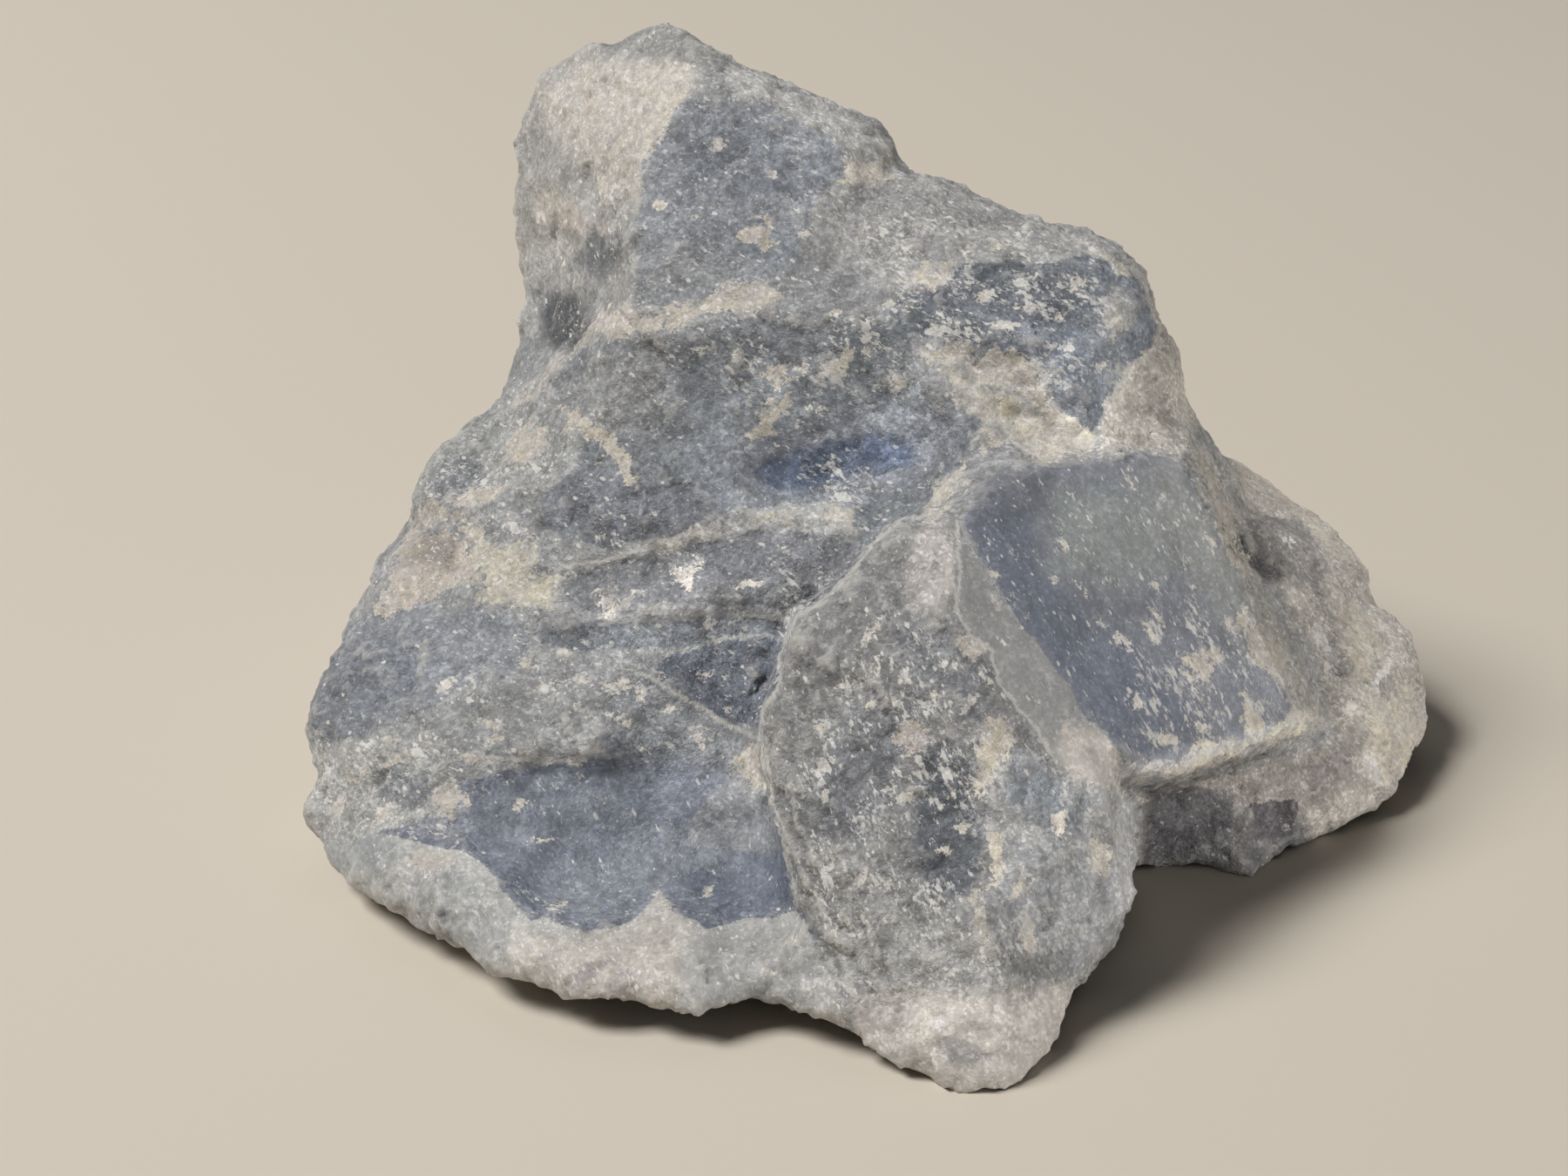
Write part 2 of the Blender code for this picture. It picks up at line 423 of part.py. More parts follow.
# Slanted cleavage steps that stand open in the back: middle, spin, lean, size.
STEPS = {
    "upper right step": ((16.0, 28.8, 24.6), 20.0, 14.0, (26.0, 10.0, 13.0)),
    "middle left step": ((-19.2, 28.6, 13.6), -30.0, 12.0, (22.0, 12.0, 13.0)),
    "crown step": ((-6.0, 28.5, 33.0), -12.0, 26.0, (16.0, 12.0, 13.0)),
    "foot step": ((2.0, 30.5, -1.0), 6.0, -16.0, (22.0, 11.0, 12.0)),
    "lump step": ((31.5, 21.5, 7.0), 40.0, 8.0, (9.0, 9.0, 9.0)),
}


def body():
    """The chunks of the body as one solid, with its hollows and cleavage steps cut."""
    whole = None
    for name, (rim, hidden) in CHUNKS.items():
        piece = chunk(name, rim, hidden)
        if whole is None:
            whole = piece
        else:
            combine(whole, piece, "UNION")
    for name, (centre, radii, turn) in SCOOPS.items():
        combine(whole, scoop(name, centre, radii, turn), "DIFFERENCE")
    for name, (corner, spin, lean, size) in STEPS.items():
        combine(whole, cleavage_step(name, corner, spin, lean, size), "DIFFERENCE")
    return whole


def regrain(stone, step):
    """Rebuilds the surface in even small faces."""
    modifier = stone.modifiers.new("grain", "REMESH")
    modifier.mode = "VOXEL"
    modifier.voxel_size = step
    settle(stone)


# Faces that broke smoother than the rest: how rough they are, and where the eye sees them.
SMOOTH_FACES = {
    "window": (
        0.12,
        [
            (8.1, 2.7), (9.4, 5.2), (13.0, 5.8), (18.0, 6.0), (20.4, 1.8), (24.0, -6.2), (18.0, -8.6),
            (14.8, -7.4), (11.0, -2.0),
        ],
    ),
    "window bevel": (
        0.2,
        [
            (8.0, 2.4), (8.0, -1.2), (9.4, -4.0), (12.2, -7.9), (14.9, -9.5), (15.6, -8.0), (12.6, -3.4),
            (9.0, 1.4),
        ],
    ),
    "pool": (
        0.25,
        [
            (-15.0, -9.2), (-10.0, -8.2), (-2.6, -8.6), (0.0, -11.5), (0.2, -14.6), (-6.0, -14.0),
            (-11.4, -15.0), (-13.4, -12.8),
        ],
    ),
    "head face": (
        0.3,
        [(-6.0, 21.0), (-2.8, 22.6), (2.8, 20.0), (4.0, 16.0), (-1.0, 14.2), (-6.6, 13.4)],
    ),
    "wedge face": (
        0.45,
        [
            (7.0, 3.4), (2.4, 0.0), (-0.2, -4.0), (-1.0, -7.0), (0.4, -14.0), (4.0, -19.0), (12.6, -20.0),
            (15.8, -14.0), (14.8, -9.6), (9.2, -3.0), (8.0, 2.0),
        ],
    ),
}


def seen(place):
    """Where the eye sees a point of the world, and how near: the way back from sighted."""
    x, y, z = place / MM
    nearer = (z - SIGHT_HEIGHT) * math.sin(EYE_ELEVATION) - y * math.cos(EYE_ELEVATION)
    rise = (z - SIGHT_HEIGHT) * math.cos(EYE_ELEVATION) + y * math.sin(EYE_ELEVATION)
    shrink = 1.0 - nearer / EYE_DISTANCE
    return x / shrink, rise / shrink, nearer


def inside(across, up, outline):
    """Whether a seen point lies within an outline."""
    within = False
    for (ax, ay), (bx, by) in zip(outline, outline[1:] + outline[:1]):
        if (ay > up) != (by > up) and across < (bx - ax) * (up - ay) / (by - ay) + ax:
            within = not within
    return within


def broken_facet(place, size, seed):
    """Height of flat facets, each a cell of rock that leans its own way."""
    at = place / size + Vector(seed)
    middle = noise.voronoi(at)[1][0]
    lean = noise.noise_vector(middle * 7.31)
    return lean.dot(at - middle)


def roughen(stone):
    """Breaks the surface up in lumps, in flat facets and in small chips, less so on the smooth faces."""
    noise.seed_set(BREAK_SEED)
    shape = bmesh.new()
    shape.from_mesh(stone.data)
    shape.normal_update()
    moves = []
    for vert in shape.verts:
        depth = LUMP_DEPTH * noise.noise(vert.co / LUMP_SIZE + Vector((3.1, 7.7, 1.3)))
        depth += BREAK_DEPTH * broken_facet(vert.co, BREAK_SIZE, (1.9, 2.6, 8.1))
        depth += CHIP_DEPTH * broken_facet(vert.co, CHIP_SIZE, (9.2, 4.4, 5.8))
        across, up, nearer = seen(vert.co)
        if nearer > -6.0:
            shares = [share for share, face in SMOOTH_FACES.values() if inside(across, up, face)]
            depth *= min(shares, default=SEEN_SHARE)
        moves.append(vert.normal * depth)
    for vert, move in zip(shape.verts, moves):
        vert.co += move
    shape.to_mesh(stone.data)
    shape.free()


def thin_out(stone, limit):
    """Joins the small faces into flat facets until few enough are left."""
    stone.data.calc_loop_triangles()
    count = len(stone.data.loop_triangles)
    modifier = stone.modifiers.new("facets", "DECIMATE")
    modifier.decimate_type = "COLLAPSE"
    modifier.ratio = min(1.0, limit / count)
    modifier.use_collapse_triangulate = True
    settle(stone)


def set_down(stone):
    """Grinds the lowest points flat, so that the stone stands, centres it and gives it its real width."""
    shape = bmesh.new()
    bmesh.ops.create_cube(shape, size=1.0)
    slab = Matrix.Translation((0.0, 0.0, REST_CUT - 0.05)) @ Matrix.Diagonal((0.3, 0.3, 0.1, 1.0))
    bmesh.ops.transform(shape, matrix=slab, verts=shape.verts)
    combine(stone, new_object("table", shape), "DIFFERENCE")
    spread = [v.co for v in stone.data.vertices]
    left = min(c.x for c in spread)
    right = max(c.x for c in spread)
    middle_y = (min(c.y for c in spread) + max(c.y for c in spread)) / 2.0
    floor = min(c.z for c in spread)
    centred = Matrix.Translation((-(left + right) / 2.0, -middle_y, -floor))
    stone.data.transform(Matrix.Scale(STONE_WIDTH / (right - left), 4) @ centred)


def tidy(stone):
    """Leaves plain outward triangles."""
    shape = bmesh.new()
    shape.from_mesh(stone.data)
    bmesh.ops.remove_doubles(shape, verts=shape.verts, dist=0.00001)
    bmesh.ops.dissolve_degenerate(shape, edges=shape.edges, dist=0.00001)
    bmesh.ops.triangulate(shape, faces=shape.faces)
    bmesh.ops.recalc_face_normals(shape, faces=shape.faces)
    shape.to_mesh(stone.data)
    shape.free()


def calcite_material():
    """Cloudy blue-grey calcite."""
    made = bpy.data.materials.new("calcite")
    made.use_nodes = True
    shader = made.node_tree.nodes["Principled BSDF"]
    shader.inputs["Base Color"].default_value = STONE_BLUE
    shader.inputs["Roughness"].default_value = STONE_ROUGHNESS
    shader.inputs["Metallic"].default_value = 0.0
    return made


def main():
    start_clean()
    stone = broken_front()
    combine(stone, body(), "INTERSECT")
    regrain(stone, GRAIN_STEP)
    roughen(stone)
    thin_out(stone, FACET_LIMIT)
    set_down(stone)
    tidy(stone)
    stone.name = "calcite"
    stone.data.name = "calcite"
    stone.data.materials.clear()
    stone.data.materials.append(calcite_material())


main()
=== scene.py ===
import math

import bmesh
import bpy
import numpy as np
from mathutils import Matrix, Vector, noise
from mathutils.kdtree import KDTree


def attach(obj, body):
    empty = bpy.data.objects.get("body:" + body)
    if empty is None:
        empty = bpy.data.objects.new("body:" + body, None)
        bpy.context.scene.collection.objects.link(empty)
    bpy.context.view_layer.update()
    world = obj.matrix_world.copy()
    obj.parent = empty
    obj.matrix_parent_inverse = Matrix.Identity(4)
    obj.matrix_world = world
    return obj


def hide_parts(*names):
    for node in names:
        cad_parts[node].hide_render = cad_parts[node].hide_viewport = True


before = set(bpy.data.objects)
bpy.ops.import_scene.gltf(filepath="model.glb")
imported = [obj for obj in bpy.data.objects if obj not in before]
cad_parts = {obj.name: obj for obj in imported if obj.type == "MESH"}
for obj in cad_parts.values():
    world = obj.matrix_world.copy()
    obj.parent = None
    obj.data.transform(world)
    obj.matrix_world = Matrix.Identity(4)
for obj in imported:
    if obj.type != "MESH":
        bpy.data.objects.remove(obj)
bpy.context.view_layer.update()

# The stone as the eye sees it: millimetres across, millimetres up, and millimetres nearer.
EYE_DISTANCE = 130.0
EYE_ELEVATION = math.radians(25.0)
STONE_SCALE = 0.999856
STONE_SHIFT = (4.7756, 3.0584, 0.2)
SIGHT_HEIGHT = 12.4
LENS = 65.0

# The grain of the remeshed surface in millimetres, and the seed of all its noise.
GRAIN_STEP = 0.47
BREAK_SEED = 5

# How much of a surface's own colour comes back under this light, next to the table's.
LIGHT_SHARE = np.array((0.91, 0.89, 0.85))

TABLE_TINT = (213, 205, 192)
TABLE_REACH = 1.5
ROCK_GREY = (140, 140, 139)
HIDDEN_DEEP = (118, 121, 127)
HIDDEN_MID = (142, 141, 139)
HIDDEN_PALE = (168, 164, 156)
CREAM = (184, 178, 167)
FLAKE_WHITE = (200, 195, 186)
POINT_WHITE = (212, 208, 200)
WORN_WHITE = (182, 177, 168)
RIM_WHITE = (188, 184, 176)
THREAD_WHITE = (186, 182, 174)
SEAM_GREY = (120, 122, 124)

# What stands for far outside an outline, and far from a line, in millimetres.
OUTSIDE = -2.0
FAR_OFF = 2.0

# How much the solid's own edges are sharpened, and how high over its surroundings a full ridge stands.
EDGE_GAIN = 0.45
RIDGE_HEIGHT = 0.1
# Rounds and share of drawing corners towards their neighbours, to find edges and to find ridges.
EDGE_ROUNDS = (10, 0.6)
RIDGE_ROUNDS = (14, 0.6)

# Broken facets: height and size in millimetres, seed.
FACET_SIZES = [(0.38, 2.3, (3.3, 8.2, 1.7)), (0.30, 1.0, (7.1, 2.9, 5.3))]
# Grain of the break: height and size in millimetres, octaves, seed, share of it left on smooth faces.
GRAIN_SIZES = [(0.10, 0.9, 3, (2.2, 6.1, 9.4), 0.3), (0.035, 0.4, 2, (8.2, 1.1, 3.4), 0.5)]
# White flakes: scale, level where they are rare, level where they are common, cover.
FLAKE_SIZES = [(1.1, 0.8, 0.585, 0.9), (2.3, 0.74, 0.555, 0.9), (4.4, 0.69, 0.54, 0.6)]
# Directions that the crystal is drawn out in: turn in degrees, stretch along it, stretch across it.
DRAWN_ON_SLOPE = (-30.0, 1.5, 0.8)
DRAWN_ON_FRONT = (-62.0, 1.6, 0.72)
DRAWN_IN_RELIEF = (-50.0, 1.4, 0.8)
# Facets of the bump: scale, height in millimetres.
BUMP_FACETS = [(0.9, 0.65), (2.3, 0.5)]

# Soft square lamps: place, aim, size, power, tint.
LAMPS = {
    "window light": ((-0.66, -0.10, 0.92), (0.0, 0.0, 0.01), 0.45, 13.4, (1.0, 0.98, 0.95)),
    "ceiling light": ((-0.10, 0.75, 0.90), (0.10, 0.15, 0.0), 0.80, 1.2, (1.0, 0.97, 0.93)),
    "inner glow": ((0.80, -0.50, 0.36), (0.0, 0.0, 0.01), 0.60, 4.8, (1.0, 0.985, 0.97)),
}

SIN = math.sin(EYE_ELEVATION)
COS = math.cos(EYE_ELEVATION)
TOWARD_EYE = np.array((0.0, -COS, SIN))
SIGHT_ORIGIN = np.array((-STONE_SHIFT[0], -STONE_SHIFT[1], SIGHT_HEIGHT - STONE_SHIFT[2])) * STONE_SCALE


# ---- colour ----

def linear(tint):
    """A tint of 0 to 255 as linear light."""
    share = np.asarray(tint, float) / 255.0
    return np.where(share <= 0.04045, share / 12.92, ((share + 0.055) / 1.055) ** 2.4)


def surface(tint):
    """The surface colour that looks like a tint under the scene's light."""
    return np.clip(linear(tint) / LIGHT_SHARE, 0.0, 0.95)


# ---- shapes in the eye's view ----

def seen(places):
    """Where the eye sees each place, and how near: across, up, nearer."""
    away = (places - SIGHT_ORIGIN) / STONE_SCALE
    nearer = away[:, 2] * SIN - away[:, 1] * COS
    rise = away[:, 2] * COS + away[:, 1] * SIN
    shrink = 1.0 - nearer / EYE_DISTANCE
    return away[:, 0] / shrink, rise / shrink, nearer


def ramp(value, low, high):
    """0 below low, 1 above high, smooth between."""
    share = np.clip((value - low) / (high - low), 0.0, 1.0)
    return share * share * (3.0 - 2.0 * share)


def depth_inside(across, up, outline):
    """How far each point lies inside an outline; outside it is negative."""
    nearest = np.full(across.shape, 1e9)
    within = np.zeros(across.shape, bool)
    for (ax, ay), (bx, by) in zip(outline, outline[1:] + outline[:1]):
        dx, dy = bx - ax, by - ay
        along = np.clip(((across - ax) * dx + (up - ay) * dy) / (dx * dx + dy * dy + 1e-12), 0.0, 1.0)
        nearest = np.minimum(nearest, np.hypot(across - ax - along * dx, up - ay - along * dy))
        if ay != by:
            crosses = ((ay > up) != (by > up)) & (across < (bx - ax) * (up - ay) / (by - ay) + ax)
            within ^= crosses
    return np.where(within, nearest, -nearest)


def beside_line(across, up, line):
    """Signed distance from a line of points, positive on its left, and the distance past its ends."""
    nearest = np.full(across.shape, 1e9)
    side = np.zeros(across.shape)
    beyond = np.zeros(across.shape)
    last = len(line) - 2
    for i, ((ax, ay), (bx, by)) in enumerate(zip(line, line[1:])):
        dx, dy = bx - ax, by - ay
        length = math.hypot(dx, dy)
        free = ((across - ax) * dx + (up - ay) * dy) / (length * length)
        along = np.clip(free, 0.0, 1.0)
        gap = np.hypot(across - ax - along * dx, up - ay - along * dy)
        closer = gap < nearest
        nearest = np.where(closer, gap, nearest)
        side = np.where(closer, np.sign(dx * (up - ay) - dy * (across - ax)), side)
        over = np.zeros(across.shape)
        if i == 0:
            over = np.maximum(over, -free * length)
        if i == last:
            over = np.maximum(over, (free - 1.0) * length)
        beyond = np.where(closer, over, beyond)
    return nearest * side, beyond


def spot(across, up, place, long, wide, turn):
    """How far each point lies inside an egg-shaped spot; outside it is negative."""
    c, s = math.cos(math.radians(turn)), math.sin(math.radians(turn))
    x = (across - place[0]) * c + (up - place[1]) * s
    y = -(across - place[0]) * s + (up - place[1]) * c
    return (1.0 - np.hypot(x / long, y / wide)) * min(long, wide)


# ---- roughness of broken rock ----

def wander(places, size, octaves, seed):
    """Smooth noise around zero."""
    shift = Vector(seed)
    return np.array([noise.fractal(Vector(p) / size + shift, 1.0, 2.0, octaves) for p in places])


def facets(places, size, seed):
    """Heights of flat broken facets, each leaning its own way."""
    shift = Vector(seed)
    heights = np.empty(len(places))
    for i, p in enumerate(places):
        at = Vector(p) / size + shift
        middle = noise.voronoi(at)[1][0]
        heights[i] = noise.noise_vector(middle * 7.31).dot(at - middle)
    return heights


# ---- features of the front ----

# Ledges of the broken front: height in millimetres, width of the raised side, line with that side on its left.
LEDGES = {
    "first ledge": (0.12, 0.9, [(-11.3, 0.9), (-9, 0.8), (-7, 1.4), (-5, 1.9), (-3.4, 2.2), (-1.6, 2.6), (0.3, 3),
        (2, 3.1), (3.3, 2.3)]),
    "third ledge": (0.09, 0.8, [(-11.2, -1.7), (-8, -1.7), (-6, -1.4), (-3, -1.2), (0.2, -1.2)]),
    "pocket rim": (0.12, 1.2, [(-0.9, -6.5), (-1.8, -6.7), (-3, -6.3), (-4.7, -5.1), (-6.2, -4.1),
        (-7.4, -3.7)][::-1]),
    "bevel edge": (0.08, 0.8, [(8, 1.6), (7.7, 0.4), (7.6, -1), (8.3, -2.3), (9.3, -3), (9.6, -4.5), (10.5, -5.5),
        (11.2, -6.5), (12, -7.8), (13.5, -8.5), (14.8, -9.3)][::-1]),
    "lobe vein": (0.11, 0.8, [(-12.8, 8.9), (-11, 10.3), (-9, 11.2), (-7, 12.4), (-4.6, 12.8)]),
    "top strip": (0.09, 0.8, [(-2.7, 22.8), (-0.5, 21.8), (1.5, 21), (2.8, 20.2), (3.1, 19.4)]),
    "left shelf": (0.09, 0.8, [(-15.4, 3.2), (-13, 4.2), (-11, 4.6), (-9.6, 5)]),
    "streak": (0.08, 0.9, [(-2.4, 4.2), (-0.4, 3.9), (1.6, 4.6), (3.2, 5.2), (5, 5.6)]),
}

# Steps over the face beside them: reach and greatest drop in millimetres, line with the low side on its right.
STEPS = {
    "wedge": (1.2, 0.5, [(-0.7, -8.9), (-1.2, -6.5), (-1, -5.6), (-0.5, -5), (-0.2, -4), (-0.3, -3.2), (0.2, -2.1),
        (0.6, -1.2), (1.5, -0.8)][::-1]),
    "lip": (0.8, 0.15, [(0.6, -14.9), (-0.5, -15.2), (-1.8, -15.2), (-3.5, -15.7), (-4.6, -15), (-5.8, -14.1),
        (-6.4, -14.7), (-8, -15.6), (-9, -15.8), (-11.4, -15.2), (-12.3, -14.5), (-13, -13.5), (-14.8, -12.1),
        (-16.4, -11.8), (-18, -11.3)]),
    "bevel": (0.8, 0.4, [(8.2, 2.6), (9.1, 1.1), (10, -0.2), (11.1, -1.9), (12.1, -3.2), (13, -4.5), (13.8, -5.9),
        (14.6, -6.7), (15.4, -7.5)]),
}

# Round knobs: place, radius and height in millimetres.
KNOBS = [((4.7, 19.8), 0.9, 0.6)]

# How rough each smoother face is next to the open break: share, outline.
SMOOTHER = {
    "window": (0.10, [(8.1, 2.7), (9.4, 5.2), (13, 5.8), (18, 6), (20.4, 1.8), (23.6, -5.4), (18, -8.2), (14.8, -7),
        (11, -1.8)]),
    "bevel": (0.18, [(8, 2.2), (7.9, -1), (9.6, -4), (12.2, -7.7), (14.9, -9.3), (15.4, -8), (12.6, -3.6), (9, 1.2)]),
    "pool": (0.28, [(-15, -9.2), (-10, -8.2), (-2.6, -8.6), (0, -11.5), (0.2, -14.6), (-6, -14), (-11.4, -15),
        (-13.4, -12.8)]),
    "head": (0.7, [(-6.4, 21), (-3.2, 22.8), (2.8, 20), (6, 16), (4, 13.6), (-6.8, 12.8)]),
    "slope": (0.75, [(-8, 12), (6, 12), (8, 7), (4, 2), (-1, -4), (-1, -8), (-16, -8), (-16, 2)]),
}

# Ground colour where the eye sees it: softness of the border, tint, outline. Later ones lie over earlier ones.
GROUND = {
    "lobe": (0.8, (154, 152, 147), [(-13, 8), (-13, 25), (-3, 26), (-3.6, 23.4), (-5.6, 21.4), (-6.6, 18.8), (-7, 15),
        (-7.2, 12.2)]),
    "lobe pale": (0.6, (178, 173, 165), [(-11.2, 23.2), (-8.8, 24.5), (-4, 24.5), (-4.7, 21.8), (-6.4, 19.8),
        (-6.8, 17.4), (-9.1, 19.4), (-10.8, 21.4)]),
    "lobe low": (0.9, (140, 139, 137), [(-13, 8.6), (-12.6, 14.4), (-9.8, 14.2), (-8.9, 16.6), (-7.2, 15.8),
        (-7, 12.4), (-10, 10.6)]),
    "lobe spot": (0.4, (84, 86, 88), [(-11.2, 12.8), (-10.4, 13.5), (-9.3, 13.2), (-8.8, 12), (-9.6, 11),
        (-10.8, 11.1)]),
    "lobe spot two": (0.35, (114, 116, 118), [(-9.6, 14.9), (-8.8, 15.9), (-7.5, 16.4), (-7.4, 14.9), (-8.4, 14.3)]),
    "lobe foot": (0.5, (122, 123, 122), [(-12.8, 8.8), (-12.6, 11.2), (-11.2, 11.6), (-10.8, 10.4)]),
    "top strip": (0.3, (158, 156, 152), [(-2.6, 24.3), (-2.4, 22.9), (-0.5, 21.9), (1.5, 21.1), (2.8, 20.4),
        (3, 19.4), (5.2, 19.4), (5, 20.6), (2, 22.4), (-0.4, 23.4)]),
    "peak": (0.4, (152, 151, 147), [(-9, 25.2), (-5, 26.4), (-2.6, 24.8), (-3.4, 23.8), (-5.2, 24.6), (-8.4, 24.2)]),
    "shoulder": (0.8, (155, 153, 150), [(2.4, 19.4), (6, 19.4), (15.4, 15.8), (13.6, 15.2), (9.2, 14.4), (6, 13.2),
        (2.6, 14), (0.6, 15), (1.2, 17.4)]),
    "shoulder low": (0.7, (131, 131, 131), [(-1.4, 13.6), (0.6, 15.4), (3.6, 14.2), (5.6, 13.2), (5.4, 11.8),
        (-1, 12)]),
    "F corner": (0.4, (152, 149, 142), [(15.2, 14.8), (16.4, 14), (16.6, 12.6), (15.4, 12.2), (14.8, 13.6)]),
    "right side": (0.3, (152, 146, 136), [(16.4, 14.6), (17.2, 14.2), (19.4, 7.4), (18.2, 7.8), (17, 11.4)]),
    "left shoulder": (0.6, (143, 143, 140), [(-18.2, 3.6), (-16.2, 6.6), (-13.2, 8), (-10.4, 8.6), (-8.6, 6.6),
        (-10.2, 4.9), (-13.8, 4.4)]),
    "left shoulder dark": (0.4, (116, 118, 120), [(-16.6, 4.4), (-15.6, 5.8), (-14, 5.8), (-13.6, 4.6), (-15, 4.2)]),
    "light ledge": (0.3, (148, 147, 144), [(-10.6, 1.5), (-8.2, 1.4), (-6.2, 2.1), (-4.2, 2.9), (-2, 3.5), (1, 4),
        (3.2, 3.2), (2.8, 2.4), (0.6, 2.7), (-1.6, 2.4), (-4.4, 1.8), (-7, 1), (-9.8, 0.6)]),
    "band four": (0.6, (141, 141, 140), [(-12.6, -1.8), (-8, -2.4), (-6, -3.2), (-6.6, -4.2), (-9.2, -4.4),
        (-12.4, -4)]),
    "brow": (0.7, (146, 146, 144), [(-19, -6.6), (-14.6, -5.2), (-10, -4.6), (-7.4, -4.6), (-8.6, -6.2),
        (-11.6, -7.2), (-16, -7.2)]),
    "mottled left": (0.6, (158, 157, 152), [(-22.4, -7), (-19.8, -7.2), (-16.4, -7.4), (-15.4, -8.8), (-15.2, -10.4),
        (-17.4, -11.4), (-22.4, -12)]),
    "mottled dark": (0.4, (124, 126, 127), [(-18.6, -8.2), (-16.2, -8.2), (-15.6, -9.8), (-17.4, -10.2),
        (-18.6, -9.4)]),
    "wedge ridge": (0.35, (176, 169, 161), [(7.6, 3.6), (6, 2.4), (5.4, 0.6), (6, -0.8), (7.4, -1.4), (8.2, 0.2),
        (8, 2.2)]),
    "right cream": (0.5, (167, 161, 151), [(15, 9.4), (16.2, 11), (17.4, 11.2), (18.6, 8.4), (18.8, 7), (18.4, 6.2),
        (16.2, 6.2), (14.4, 6.4)]),
    "right seam": (0.5, (160, 156, 148), [(18.4, 6.6), (19.4, 6.8), (20.6, 4.6), (21.6, 1.4), (22.4, -0.8),
        (24, -3.4), (25, -6.4), (23.4, -6.8), (22.4, -3.4), (20.6, 0.6), (19.8, 3.4)]),
    "rear lump": (0.4, (156, 150, 141), [(19.4, 7.8), (20.6, 4.9), (21.8, 1.6), (23, -0.8), (24.6, -3.6),
        (25.2, -6.6), (24.2, -7.4), (22, -8.2), (18, -9), (15.4, -9.8), (15.2, -15), (30, -16), (32, -4), (27, 4),
        (22, 8)]),
    "lump mauve": (0.5, (122, 117, 112), [(21.6, 3.2), (23.4, 3), (25.2, 1), (25, -0.4), (23.4, 0.2), (22.2, 1.2)]),
    "lump low": (0.6, (128, 122, 117), [(22.2, -8.2), (26.4, -7.4), (26.8, -8.8), (24.6, -10), (20.6, -10.2),
        (18, -9.6)]),
    # Painted shade: the lump's foot and underside are painted dark where the overhang of the window block keeps the
    # light off them, down to the table.
    "lump foot shade": (0.5, (92, 90, 88), [(16, -10.2), (19.4, -10.2), (23.8, -10.4), (24.4, -12), (21.8, -14.6),
        (16.6, -14)]),
    "underside shade": (0.3, (75, 73, 74), [(16.6, -9.2), (20.4, -9.2), (20.6, -11), (18.4, -12.6), (16.5, -12.6)]),
    "crack": (0.15, (88, 87, 85), [(20, 3.3), (20.6, 2.7), (21.4, 2), (22.3, 1.3), (23.1, 0.6), (22.9, 0.2),
        (22, 0.7), (21, 1.4), (20.2, 2.4)]),
}

